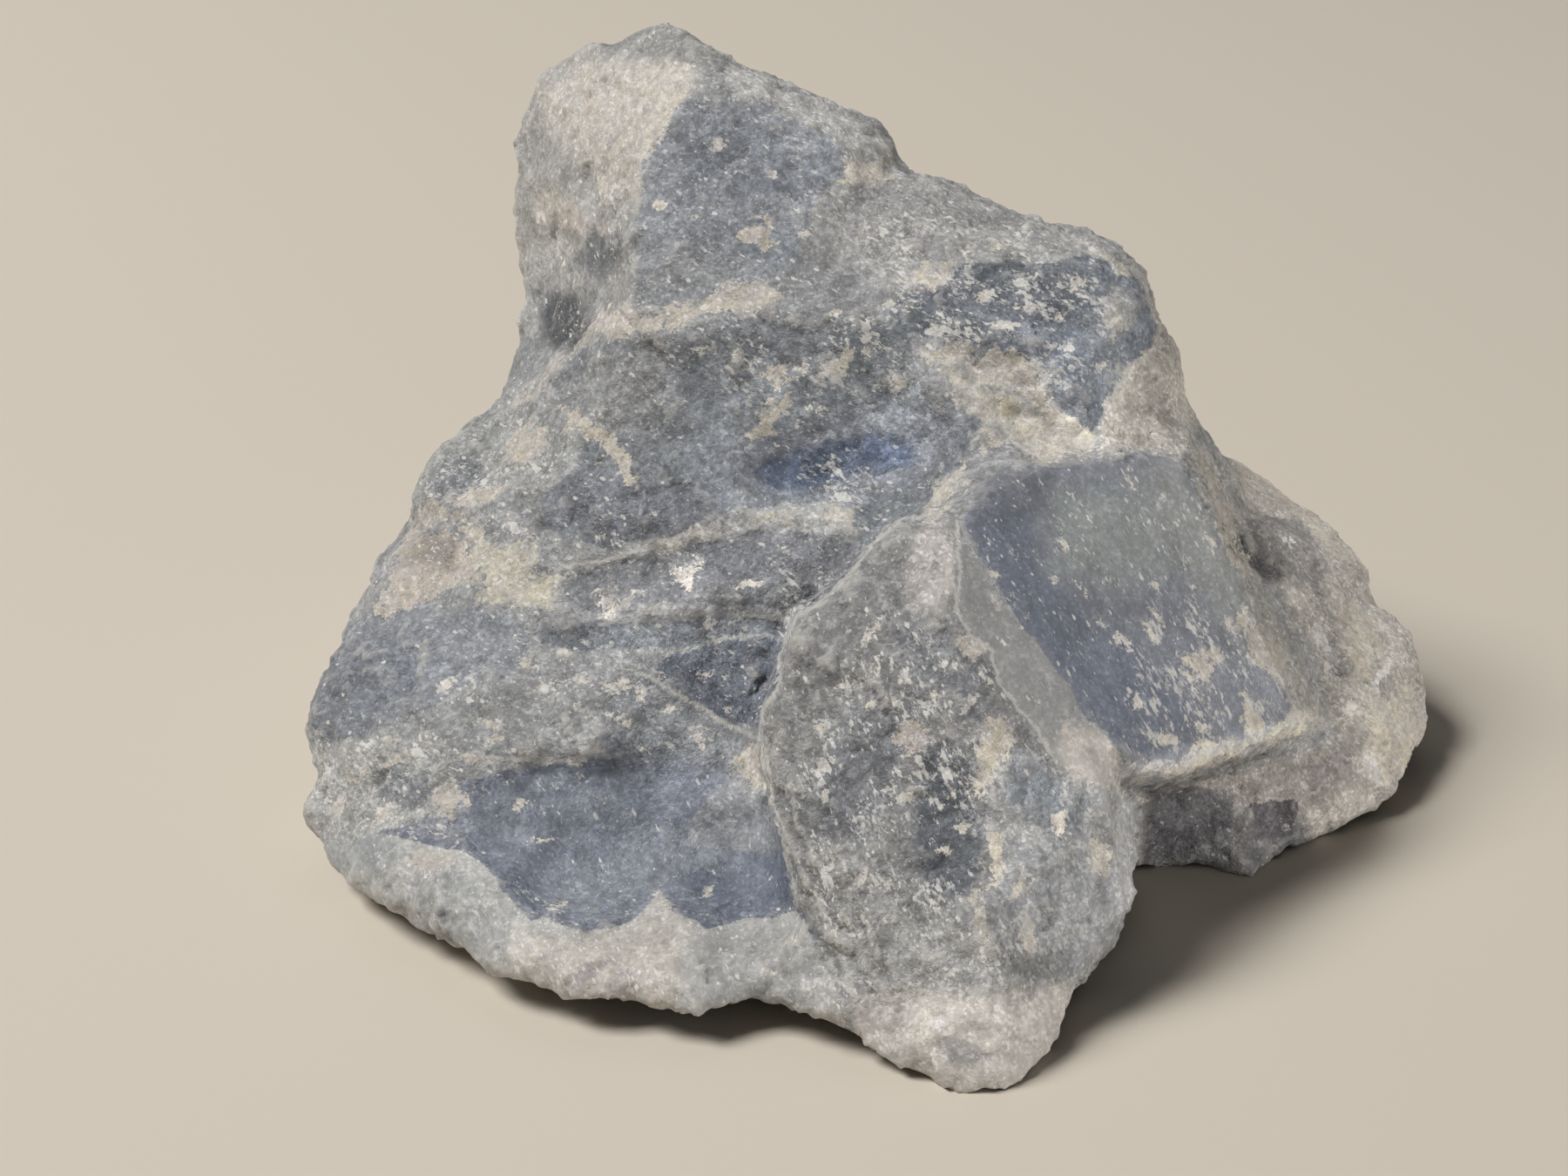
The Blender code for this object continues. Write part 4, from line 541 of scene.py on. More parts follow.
# Cream and white patches with crisp broken borders: tint, outline.
PATCHES = {
    "lobe cream": ((186, 180, 171), [(-7.8, 23.6), (-6, 24.2), (-4.6, 23.8), (-3.9, 23.2), (-4.6, 22.2), (-5.4, 21.6),
        (-5.6, 20.6), (-6.6, 19), (-7.2, 19.8), (-7, 21.4), (-8, 22.2)]),
    "lobe streak": ((182, 176, 168), [(-9.8, 24), (-9, 24), (-7.2, 20.6), (-6.6, 18.2), (-7.2, 18), (-8.2, 20.6),
        (-9.4, 22.4)]),
    "lobe low streak": ((178, 172, 164), [(-11.6, 18), (-10.2, 18.2), (-8.6, 16.9), (-8.2, 16.1), (-9.4, 16.2),
        (-10.4, 16.6), (-11.4, 16.6)]),
    "lobe foot cream": ((180, 174, 165), [(-12.6, 8.7), (-11.6, 9.4), (-9.8, 10.9), (-8.8, 12.3), (-8.2, 12.8),
        (-6.4, 12.6), (-4.9, 12), (-6.2, 11.7), (-8, 11.6), (-9.4, 11), (-11, 9.8), (-12.4, 8.4)]),
    "head cream": ((186, 179, 166), [(-1.9, 16.6), (-1.2, 16.9), (-0.5, 16.3), (-0.3, 15.6), (-0.8, 15.3),
        (-1.2, 15.9), (-1.9, 16.1)]),
    "shelf cream": ((184, 178, 168), [(-6.4, 12.3), (-5, 13), (-3.4, 13.4), (-2.4, 13.9), (-1.4, 14.3), (-0.4, 13.9),
        (0.2, 13.2), (-0.6, 12.7), (-2, 12.3), (-3.6, 12.5), (-5.2, 12.2)]),
    "notch cream": ((188, 182, 170), [(3.3, 19.6), (4.4, 19.5), (4.9, 19), (4.2, 18.5), (3.6, 18.8), (2.4, 18.7),
        (2.6, 19.4)]),
    "shoulder one": ((196, 191, 182), [(5.9, 16.9), (6.7, 17), (7, 16.5), (6.3, 16.3)]),
    "shoulder two": ((196, 190, 178), [(5.4, 14.2), (6.4, 14.6), (7.6, 14.9), (7.9, 14.2), (7.4, 13.7), (6.4, 13.8)]),
    "F light edge": ((188, 184, 176), [(13, 15.9), (14.4, 15.5), (16.2, 14.5), (16.1, 14.1), (14.6, 14.9),
        (13.2, 15.5)]),
    "F grey": ((160, 158, 152), [(14.2, 13.6), (14.9, 13.5), (15.6, 12), (15.2, 11.4), (14.6, 12.2)]),
    "vein": ((180, 175, 165), [(6.1, 11.3), (7.2, 11), (8, 11.3), (9, 10.4), (9.9, 11.1), (10.9, 11), (11.6, 10),
        (12.2, 9), (13, 7.9), (13.9, 7.2), (14.2, 6.2), (12.4, 5.8), (11, 6), (10, 6.6), (9.2, 6.2), (8.9, 7.4),
        (7.9, 8.5), (7.4, 9.3), (6.6, 10.2)]),
    "vein foot": ((186, 181, 170), [(6.4, 4), (7.2, 5.2), (8.4, 5.5), (8, 4.4), (7.4, 3.4), (6.5, 3.2)]),
    "G chip": ((196, 190, 178), [(-1.2, 9.8), (-0.4, 10.3), (0.3, 10), (0.1, 9.4), (-0.9, 9.2)]),
    "G chip two": ((196, 190, 178), [(1.8, 10.6), (3, 11), (3.4, 10.5), (2.6, 10.1), (1.9, 10.1)]),
    "G streak": ((176, 170, 158), [(-1.9, 7), (-0.8, 8.2), (0, 8.9), (0.1, 8.3), (-0.7, 7.3), (-1.6, 6.6)]),
    "G grey": ((158, 156, 150), [(4.6, 9.6), (5.6, 10), (6, 9.5), (5.2, 9.2)]),
    "slope vein": ((184, 178, 166), [(-10.3, 8.4), (-9.7, 8.5), (-8.7, 7.4), (-7.2, 6.6), (-7, 5.9), (-6.8, 4.9),
        (-7.3, 4.9), (-8, 5.9), (-9.2, 6.6), (-9.9, 7.6)]),
    "shoulder chip": ((184, 178, 168), [(-12.6, 6.6), (-11.6, 7.2), (-10.8, 7.4), (-10.9, 6.4), (-11.8, 5.9),
        (-12.8, 5.6)]),
    "shelf chip": ((186, 180, 170), [(-15.4, 4.2), (-14.4, 4.5), (-13.2, 4.7), (-13.3, 3.9), (-14.4, 3.6),
        (-15.2, 3.5)]),
    "neck line": ((172, 167, 158), [(-17.2, 3.5), (-15.8, 3.9), (-15.2, 3.3), (-13.8, 3), (-14, 2.6), (-15.6, 2.8),
        (-17.2, 3.1)]),
    "big cream": ((188, 183, 168), [(-14.6, 2.6), (-13.6, 2.2), (-12.2, 2.2), (-11.2, 1.4), (-11.4, 0.7),
        (-10.4, 0.2), (-10.7, -0.9), (-11.6, -0.8), (-12.6, -0.9), (-13.8, -0.5), (-14, 0.5), (-14.2, 1.4)]),
    "tan": ((178, 170, 160), [(-18.4, -0.2), (-17.4, 2.2), (-16.6, 2.9), (-15.4, 2.5), (-14.3, 1.6), (-14.1, 0.6),
        (-15.2, -0.2), (-17, -0.9), (-18.8, -1.2)]),
    "ledge cream": ((176, 173, 168), [(-6.9, 1.9), (-5.6, 2.3), (-4, 3.1), (-3, 3.2), (-2.8, 2.5), (-4.2, 2.1),
        (-5.4, 1.6)]),
    "ledge edge": ((168, 164, 154), [(-1.6, 3.3), (-0.4, 3.7), (0.6, 3.6), (0.4, 3.2), (-0.8, 3.1), (-1.4, 2.9)]),
    "ledge end": ((168, 164, 154), [(1.4, 3.6), (2.4, 3.7), (3.5, 2.9), (3.1, 2.6), (2.2, 3.1)]),
    "ledge line": ((160, 157, 150), [(-8.2, -0.4), (-6.4, -0.2), (-6.3, -0.5), (-8.2, -0.8)]),
    "star": ((204, 199, 190), [(-5.2, 1.3), (-4.6, 1.1), (-4.3, 1.3), (-4.3, 0.6), (-3.9, 0), (-4.4, 0.2),
        (-4.9, 0.5), (-5.1, 0.9)]),
    "chip": ((200, 195, 186), [(-8.4, -0.3), (-8, -0.4), (-7.8, -1.4), (-8.1, -1.3)]),
    "chip two": ((190, 186, 176), [(-3.7, -1.2), (-3.2, -1.2), (-3.1, -2), (-3.5, -1.9)]),
    "left line": ((176, 172, 164), [(-14.8, -7.5), (-12.6, -7.7), (-10.4, -7.8), (-8.6, -7.3), (-8.6, -7.6),
        (-10.6, -8.1), (-13, -8), (-14.8, -7.9)]),
    "left chip": ((184, 178, 168), [(-16.3, -9.2), (-15.2, -9.1), (-14.6, -9.9), (-15.4, -10.4), (-16.3, -10.2)]),
    "pocket chip": ((190, 184, 174), [(-4.3, -6.6), (-3.6, -6.4), (-3.4, -7.2), (-4.1, -7.3)]),
    "wedge foot cream": ((190, 184, 172), [(-2, -7.4), (-1.2, -7.4), (-0.7, -8.6), (-0.5, -9.6), (-1.3, -9.2),
        (-2.2, -8.3)]),
    "pool rim": ((186, 181, 173), [(-6.2, -14.6), (-5.8, -14), (-5.1, -14.7), (-4.9, -15.4), (-5.9, -15.3)]),
    "lip knob": ((186, 181, 174), [(-17.2, -12.2), (-15.6, -12.2), (-15, -12.8), (-16.4, -13.1), (-17.4, -12.8)]),
    "lip edge": ((180, 174, 167), [(-10.2, -17.6), (-8.4, -17.2), (-6.4, -17.8), (-4.9, -18.9), (-7, -19.2),
        (-9.6, -18.9)]),
    "lip flake": ((190, 185, 177), [(-12.2, -15.7), (-10.6, -16.2), (-9.8, -16.9), (-10.8, -17), (-12, -16.6)]),
    "ring": ((184, 176, 168), [(5.2, -6.5), (5.9, -6.1), (6.7, -6.3), (6.5, -7.1), (5.7, -7.4), (5.1, -7.1)]),
    "wedge streak": ((186, 179, 166), [(9.3, -5.9), (10.2, -5.8), (10.3, -7.2), (9.6, -8.2), (9.2, -9.6), (8.7, -8.6),
        (9, -7)]),
    "wedge streak two": ((188, 182, 170), [(9.6, -11.4), (10.1, -11.4), (9.8, -13.6), (9.2, -13.8), (9.3, -12.2)]),
    "wedge streak three": ((180, 174, 164), [(8.5, -13.9), (9.1, -14.3), (9.6, -16.6), (9.4, -17.4), (8.9, -16.2)]),
    "wedge flake": ((192, 186, 176), [(12.1, -10.5), (13.3, -10.3), (13, -11.2), (12.1, -11.5)]),
    "wedge flake two": ((184, 178, 168), [(13.9, -11.9), (14.8, -11.9), (15.1, -13.2), (14.3, -13.1)]),
    "wedge flake three": ((186, 180, 170), [(10.6, -13.2), (11.4, -13.4), (11.3, -14.1), (10.7, -14.1)]),
    "wedge flake four": ((184, 178, 168), [(10.8, -15.9), (11.6, -15.9), (11.8, -16.7), (11, -16.8)]),
    "tip flake": ((190, 184, 176), [(5.9, -19.4), (7, -19.2), (7.4, -20.6), (6.4, -21), (5.8, -20.4)]),
    "ridge spot": ((188, 181, 172), [(8.4, -2.4), (9.4, -2.5), (9.8, -3.1), (9, -3.5), (8.4, -3.1)]),
    "bevel chip": ((190, 183, 174), [(12.7, -5.9), (13.6, -6), (14.1, -6.9), (13.2, -7.2), (12.7, -6.7)]),
    "window flake": ((190, 183, 170), [(18.3, -2.9), (19.5, -3.2), (20.6, -2.3), (20, -3.5), (19.5, -4.3),
        (18.9, -3.9)]),
    "window flake two": ((178, 172, 160), [(20.9, -1.6), (21.9, -1.8), (22.9, -3), (23.1, -4.6), (22.2, -3.8),
        (21.2, -2.8)]),
    "window flake three": ((184, 178, 166), [(20.9, -5), (21.9, -5.4), (22.3, -6.6), (21.4, -7.1), (20.8, -6.2)]),
    "window foot": ((182, 175, 164), [(23.8, -5.4), (23.9, -6.4), (22, -7.3), (20, -8.1), (18, -8.6), (16.2, -8.7),
        (16.4, -7.9), (17.8, -8), (19.4, -7.2), (21, -6.9), (22.6, -6.4)]),
    "seam cream": ((180, 174, 163), [(18.8, 6), (19.4, 5.8), (20.6, 3.4), (21.4, 0.6), (20.9, 0.6), (20, 2.9),
        (19.2, 4.6)]),
    "lump cream": ((172, 165, 153), [(24.8, -1.4), (26.2, -0.6), (27.6, -2.6), (27, -4.2), (25.6, -3.4)]),
    "lump pale": ((182, 175, 162), [(27, -5), (29.2, -4.4), (29.4, -7.4), (27.8, -9), (26.6, -7.6)]),
    "lump rim": ((164, 157, 146), [(21, 5.9), (24.2, 4), (26.4, 1.2), (25.8, 1.2), (23.6, 3.3), (20.6, 5.2)]),
}

# How sleek some zones are: share, outline.
SLEEK = {
    "window": (1, SMOOTHER["window"][1]),
    "bevel": (1, SMOOTHER["bevel"][1]),
    "pool": (0.5, SMOOTHER["pool"][1]),
    "lip": (0.75, FRONT["lip"][1]),
    "lobe": (0.45, GROUND["lobe"][2]),
    "tip": (0.55, [(3, -18.8), (14.6, -18.6), (13, -25.6), (2.6, -22)]),
}

# Fine parallel grooves low on the left of the front ridge: height and closeness, outline.
GROOVES = (0.13, 7.5, [(-0.8, -9), (0.8, -9.4), (2.8, -13), (5.2, -17.4), (5.6, -19.4), (2.8, -19.6), (0.6, -15.2)])

# Small bright flakes: place, half length, half width, turn in degrees.
FLAKES = [
    ((15.6, -2.5), 0.45, 0.16, -35), ((16.7, -1.9), 0.55, 0.2, -60), ((17.1, -1.2), 0.4, 0.16, -55), ((20.6, -2),
        0.6, 0.25, -50),
    ((21.3, -1.4), 0.5, 0.22, -50), ((18.7, -4.2), 0.4, 0.16, -60), ((16.3, -5.3), 0.35, 0.3, 0), ((17.6, -6.9),
        0.5, 0.2, -20),
    ((19.2, -6.5), 0.45, 0.18, -30), ((18.4, 1.4), 0.3, 0.12, -60), ((19.6, 2.2), 0.28, 0.12, -65), ((17.4, 4.1),
        0.3, 0.12, 60),
    ((12.9, 2), 0.25, 0.16, -70), ((12.4, 0.3), 0.22, 0.12, -60), ((13.6, 0), 0.26, 0.1, -40), ((18.9, -0.4),
        0.35, 0.1, -70),
    ((14.6, -1.6), 0.2, 0.1, -40), ((17, 0.2), 0.24, 0.1, -65), ((16, 4.8), 0.24, 0.1, -50), ((19, 3.2),
        0.3, 0.12, -60),
    ((9.8, -0.9), 0.35, 0.14, -60), ((9.6, 0.6), 0.2, 0.12, -50), ((10.5, 1.6), 0.2, 0.1, -60), ((3.9, -2.2),
        0.5, 0.14, 55),
    ((1.6, -6.3), 0.25, 0.16, 0), ((5.2, -5.2), 0.2, 0.2, 0), ((6.9, -5), 0.3, 0.2, 30), ((8.6, -5.3),
        0.45, 0.18, 60),
    ((7.4, -3.4), 0.2, 0.12, 40), ((9.4, -4.4), 0.3, 0.16, -60), ((4, -5.4), 0.2, 0.1, 40), ((2.6, -4.6),
        0.2, 0.1, 20),
    ((2, -9.8), 0.3, 0.16, 70), ((4.8, -9.2), 0.35, 0.2, 20), ((5.6, -9.6), 0.3, 0.2, -20), ((7.9, -9.4),
        0.22, 0.18, 0),
    ((8.2, -11), 0.4, 0.3, 0), ((11, -13.2), 0.3, 0.26, 0), ((7.4, -12), 0.3, 0.16, 0), ((3.5, -13.4), 0.5, 0.14, 70),
    ((-10.2, -3), 0.3, 0.18, -70), ((-12, -3.4), 0.3, 0.2, -60), ((-9.2, -4.2), 0.5, 0.26, 10), ((-7.6, -4.5),
        0.6, 0.2, 5),
    ((-6.6, -4.9), 0.35, 0.2, 70), ((-5.9, -3.9), 0.2, 0.16, 0), ((-11, -4.6), 0.4, 0.14, 10), ((-9.6, -5.4),
        0.35, 0.16, -20),
    ((-8, -5.8), 0.4, 0.16, -20), ((-7.2, -6.3), 0.3, 0.16, -20), ((-5.4, -5.6), 0.3, 0.22, 20), ((-13.4, -6.2),
        0.6, 0.2, -10),
    ((-13.2, -6.9), 0.5, 0.16, 15), ((-3.6, -4), 0.3, 0.14, 0), ((-2.6, -5.6), 0.3, 0.16, -30), ((-4, -7.2),
        0.3, 0.2, 20),
    ((-9.4, -8.6), 0.3, 0.14, -20), ((-12.2, -9.9), 0.4, 0.16, 15), ((-11, -11.6), 0.4, 0.1, 0), ((-10.5, -14.6),
        0.4, 0.2, 30),
    ((-3.6, -13.9), 0.3, 0.1, 40), ((-8.4, 2.6), 0.3, 0.12, 70), ((-6.8, -0.2), 0.2, 0.16, 0), ((-1.6, 0.2),
        0.4, 0.1, 10),
    ((-0.6, 8.6), 0.3, 0.14, 40), ((0.6, 10), 0.4, 0.2, 20), ((1.6, 8.2), 0.3, 0.14, 0), ((3.8, 10.8), 0.3, 0.2, 0),
    ((-2.2, 10.6), 0.3, 0.16, 20), ((-3.6, 11), 0.3, 0.14, 0), ((2.4, 12.6), 0.25, 0.2, 0), ((4, 12.2), 0.3, 0.2, 0),
    ((5, 13), 0.4, 0.16, 10), ((9.2, 13.4), 0.4, 0.3, 10), ((11.4, 12.9), 0.6, 0.26, 0), ((12.8, 12.6),
        0.3, 0.16, 60),
    ((10, 12), 0.4, 0.16, 0), ((13.4, 14), 0.3, 0.26, 0), ((13, 11), 0.3, 0.14, 0), ((14.6, 10.2), 0.26, 0.2, 0),
    ((12.6, 9.6), 0.4, 0.16, -20), ((8.4, 15.4), 0.3, 0.16, 40), ((9.8, 15.8), 0.3, 0.2, 0), ((3.6, 16.6),
        0.3, 0.16, 0),
    ((1, 16.2), 0.3, 0.24, 0), ((-5.8, 17.6), 0.26, 0.2, 0), ((-4.4, 17), 0.2, 0.16, 0), ((-3, 20.4), 0.3, 0.2, 30),
    ((-0.6, 19), 0.2, 0.16, 0), ((-9.2, 20.8), 0.6, 0.22, -50), ((-8.4, 18.4), 0.5, 0.2, -60), ((-10.4, 22.2),
        0.4, 0.16, -60),
    ((-15.6, -4.4), 0.35, 0.2, 30), ((-18, -6.9), 0.3, 0.2, 0), ((-19.6, -8.6), 0.5, 0.2, 30), ((-18, -8),
        0.5, 0.2, 20),
    ((-20.4, -10), 0.5, 0.26, 60), ((-18.4, -10.4), 0.6, 0.22, 50), ((-17, -12.6), 0.7, 0.16, 10), ((-11.8, -17.2),
        0.5, 0.22, -20),
    ((-1.8, -16.6), 0.4, 0.12, 40), ((0.4, -16.2), 0.3, 0.14, 0), ((-0.8, -17.6), 0.4, 0.14, -30), ((1.4, -18.2),
        0.4, 0.2, 30),
    ((24.6, -2.2), 0.6, 0.3, -60), ((23.2, 2.2), 0.3, 0.16, -40), ((26, -5.6), 0.5, 0.26, 40), ((27.6, -3.8),
        0.5, 0.2, 60),
]

# How many white flakes some zones have: share, outline.
SPECKLED = {
    "F face": (1, [(4.8, 13.4), (8.4, 14.6), (15.4, 14.3), (16.2, 10.4), (13.6, 7), (9.6, 11.2), (5.6, 11.9)]),
    "G top": (1, [(-2.6, 12.2), (4.6, 12.2), (5.6, 9), (2, 8.2), (-2, 8), (-3.4, 9.6)]),
    "shoulder": (0.8, [(4.4, 18.6), (14.4, 15.8), (12, 15), (6, 13.4), (3, 15)]),
    "left shoulder": (0.8, [(-17, 3.6), (-15, 7), (-10.4, 8.4), (-10.2, 5), (-14, 4.2)]),
    "hump foot": (0.8, [(-15.4, -3.8), (-10.6, -3.2), (-6.6, -3.4), (-5.6, -5.2), (-8.2, -5), (-11.2, -4.9),
        (-14.8, -5.4)]),
    "brow": (0.35, [(-17, -6), (-11, -5.2), (-7.4, -5.4), (-8.6, -7.4), (-14.8, -7.6)]),
    "wedge": (0.85, [(7.6, -0.8), (4.6, -1.6), (1.2, -5), (0.2, -8.4), (2, -16), (9, -19), (14, -16), (14.6, -10.4),
        (9.8, -4.6)]),
    "wedge top": (0.3, [(6.8, 3), (3.4, 1), (0.4, -2.4), (-0.6, -6), (0.8, -6.4), (3.2, -2.6), (6.4, 0.4)]),
    "window": (0.4, [(8.2, 2.7), (9.3, 4.9), (18.2, 5.8), (21, 0.2), (23.5, -5.6), (16.6, -8.3), (12.1, -3.1)]),
    "bevel": (0.2, [(8.2, 2.6), (7.8, -1), (10.4, -5.4), (14.9, -9.2), (15.5, -7.6), (12.1, -3.1)]),
    "pool": (0.3, [(-15.3, -9.4), (-8.6, -7.7), (-2.6, -8.1), (-0.3, -12.4), (0.4, -14.7), (-8.8, -15.7),
        (-12.9, -13.2)]),
    "head": (0.45, [(-7, 12.9), (-6.2, 19.6), (-3.6, 22.9), (2.6, 20.3), (1.2, 16.9), (-2.6, 13.8)]),
    "window low": (1, [(15.4, -1.4), (21.4, -0.4), (23.6, -5.6), (18, -8), (15.4, -6.4)]),
    "mottled left": (0.8, [(-22, -6.8), (-16, -7.2), (-15.2, -10.4), (-21, -12)]),
    "streak foot": (0.5, [(-4.6, 5), (-1.6, 5.4), (0.4, 4.2), (-1.6, 3.6), (-4.6, 4)]),
}


# ---- mesh ----

def settle(thing):
    """Turns an object's modifiers into plain mesh."""
    graph = bpy.context.evaluated_depsgraph_get()
    made = bpy.data.meshes.new_from_object(thing.evaluated_get(graph))
    old = thing.data
    thing.modifiers.clear()
    thing.data = made
    bpy.data.meshes.remove(old)


def places_of(mesh):
    """The mesh's corners in millimetres."""
    flat = np.empty(len(mesh.vertices) * 3)
    mesh.vertices.foreach_get("co", flat)
    return flat.reshape(-1, 3) * 1000.0


def normals_of(mesh):
    """The outward direction at each corner."""
    flat = np.empty(len(mesh.vertices) * 3)
    mesh.vertex_normals.foreach_get("vector", flat)
    return flat.reshape(-1, 3)


def edges_of(mesh):
    """The two corners of each edge, pair after pair."""
    ends = np.empty(len(mesh.edges) * 2, dtype=np.int64)
    mesh.edges.foreach_get("vertices", ends)
    return ends


def put_places(mesh, places):
    """Moves the mesh's corners to places given in millimetres."""
    mesh.vertices.foreach_set("co", (places / 1000.0).ravel())
    mesh.update()


def relaxed(places, ends, rounds, share):
    """The places drawn towards the middle of their neighbours."""
    first, second = ends[::2], ends[1::2]
    count = np.bincount(ends, minlength=len(places)).astype(float)
    for _ in range(rounds):
        total = np.zeros_like(places)
        for axis in range(3):
            total[:, axis] += np.bincount(first, weights=places[second, axis], minlength=len(places))
            total[:, axis] += np.bincount(second, weights=places[first, axis], minlength=len(places))
        places = places + share * (total / count[:, None] - places)
    return places


def smooth(mesh, rounds, share):
    """Draws each corner of a mesh towards the middle of its neighbours."""
    put_places(mesh, relaxed(places_of(mesh), edges_of(mesh), rounds, share))


def refine_front(mesh):
    """Halves the grain of the surface where it faces the eye."""
    shape = bmesh.new()
    shape.from_mesh(mesh)
    shape.normal_update()
    toward = Vector(TOWARD_EYE)
    chosen = set()
    for face in shape.faces:
        if face.normal.dot(toward) > 0.02:
            chosen.update(face.edges)
    bmesh.ops.subdivide_edges(shape, edges=list(chosen), cuts=1, use_grid_fill=True)
    shape.to_mesh(mesh)
    shape.free()


def sharpen_steps(mesh):
    """Makes the face beside each step run level right up to it."""
    places = places_of(mesh)
    facing = normals_of(mesh) @ TOWARD_EYE
    for reach, deepest, line in STEPS.values():
        across, up, nearer = seen(places)
        front = np.nonzero(facing > 0.05)[0]
        swing = 0.16 * wander(places[front], 1.1, 3, (2.8, 6.4, 1.9))
        gap, beyond = beside_line(across[front], up[front], line)
        below = -gap + swing
        near = np.nonzero((below > 0.0) & (below < reach) & (beyond < 0.6))[0]
        tree = KDTree(len(front))
        for i, at in enumerate(front):
            tree.insert((across[at], up[at], 0.0), i)
        tree.balance()
        step = 0.02
        x, y = across[front][near], up[front][near]
        lean_x = (beside_line(x + step, y, line)[0] - gap[near]) / step
        lean_y = (beside_line(x, y + step, line)[0] - gap[near]) / step
        size = np.hypot(lean_x, lean_y) + 1e-9
        away = reach - below[near]
        level = np.array([
            nearer[front[tree.find((px, py, 0.0))[1]]]
            for px, py in zip(x - lean_x / size * away, y - lean_y / size * away)
        ])
        share = ramp(below[near], 0.1, 0.35) * (1.0 - ramp(beyond[near], 0.0, 0.6))
        drop = np.clip(level - nearer[front[near]], -deepest, 0.0) * share
        places[front[near]] += TOWARD_EYE * drop[:, None]
    put_places(mesh, places)


def break_up(mesh):
    """Adds the broken relief: facets, grain, ledges, grooves and knobs."""
    places = places_of(mesh)
    places = places + EDGE_GAIN * (places - relaxed(places, edges_of(mesh), *EDGE_ROUNDS))
    put_places(mesh, places)
    outward = normals_of(mesh)
    across, up, nearer = seen(places)
    facing = ramp(outward @ TOWARD_EYE, -0.05, 0.25)
    share = np.ones(len(places))
    for rough, outline in SMOOTHER.values():
        inside = ramp(depth_inside(across, up, outline), -0.3, 0.5) * facing
        share = share * (1.0 - inside * (1.0 - rough))
    sway = wander(places, 1.3, 3, (4.1, 0.3, 7.7))
    rise = np.zeros(len(places))
    for height, size, seed in FACET_SIZES:
        rise += height * facets(places, size, seed) * share
    for height, size, octaves, seed, left in GRAIN_SIZES:
        rise += height * wander(places, size, octaves, seed) * (left + (1.0 - left) * share)
    for height, width, line in LEDGES.values():
        gap, beyond = beside_line(across, up, line)
        gap = gap + 0.22 * sway
        edge = ramp(gap, -0.12, 0.06) * np.exp(-np.maximum(gap, 0.0) / width)
        rise += height * edge * (1.0 - ramp(beyond, 0.0, 1.0)) * facing
    height, closeness, outline = GROOVES
    along = across * 0.86 + up * 0.42 + 0.35 * sway
    rise += height * np.sin(along * closeness) * ramp(depth_inside(across, up, outline), -0.6, 0.6) * facing
    for place, radius, height in KNOBS:
        gap = np.hypot(across - place[0], up - place[1])
        top = nearer[np.argmin(gap + radius * (facing <= 0.0))]
        rise += height * ramp(1.0 - np.hypot(gap, nearer - top) / radius, 0.0, 0.8)
    put_places(mesh, places + outward * rise[:, None])


def crisp_faces(across, up, faces):
    """Depth inside the nearest of the crisp faces, and that face's tint."""
    depth = np.full(across.shape, OUTSIDE)
    tints = np.tile(linear(ROCK_GREY), (len(across), 1))
    for tint, outline, inner in faces.values():
        inside = depth_inside(across, up, outline)
        here = inside > depth
        own = np.tile(linear(tint), (len(across), 1))
        for soft, shade, area in inner:
            cover = ramp(depth_inside(across, up, area), -soft, soft)[:, None]
            own = own + (linear(shade) - own) * cover
        depth = np.where(here, inside, depth)
        tints = np.where(here[:, None], own, tints)
    return depth, tints


def pale_spots(across, up, wide_x, wide_y):
    """The tint of each cream patch and flake in turn, and how far each point lies inside it."""
    for tint, outline in PATCHES.values():
        yield tint, depth_inside(across + 0.5 * wide_x, up + 0.5 * wide_y, outline)
    near_x, near_y = across + 0.12 * wide_x, up + 0.12 * wide_y
    for flake in FLAKES:
        yield FLAKE_WHITE, spot(near_x, near_y, *flake) * 1.6


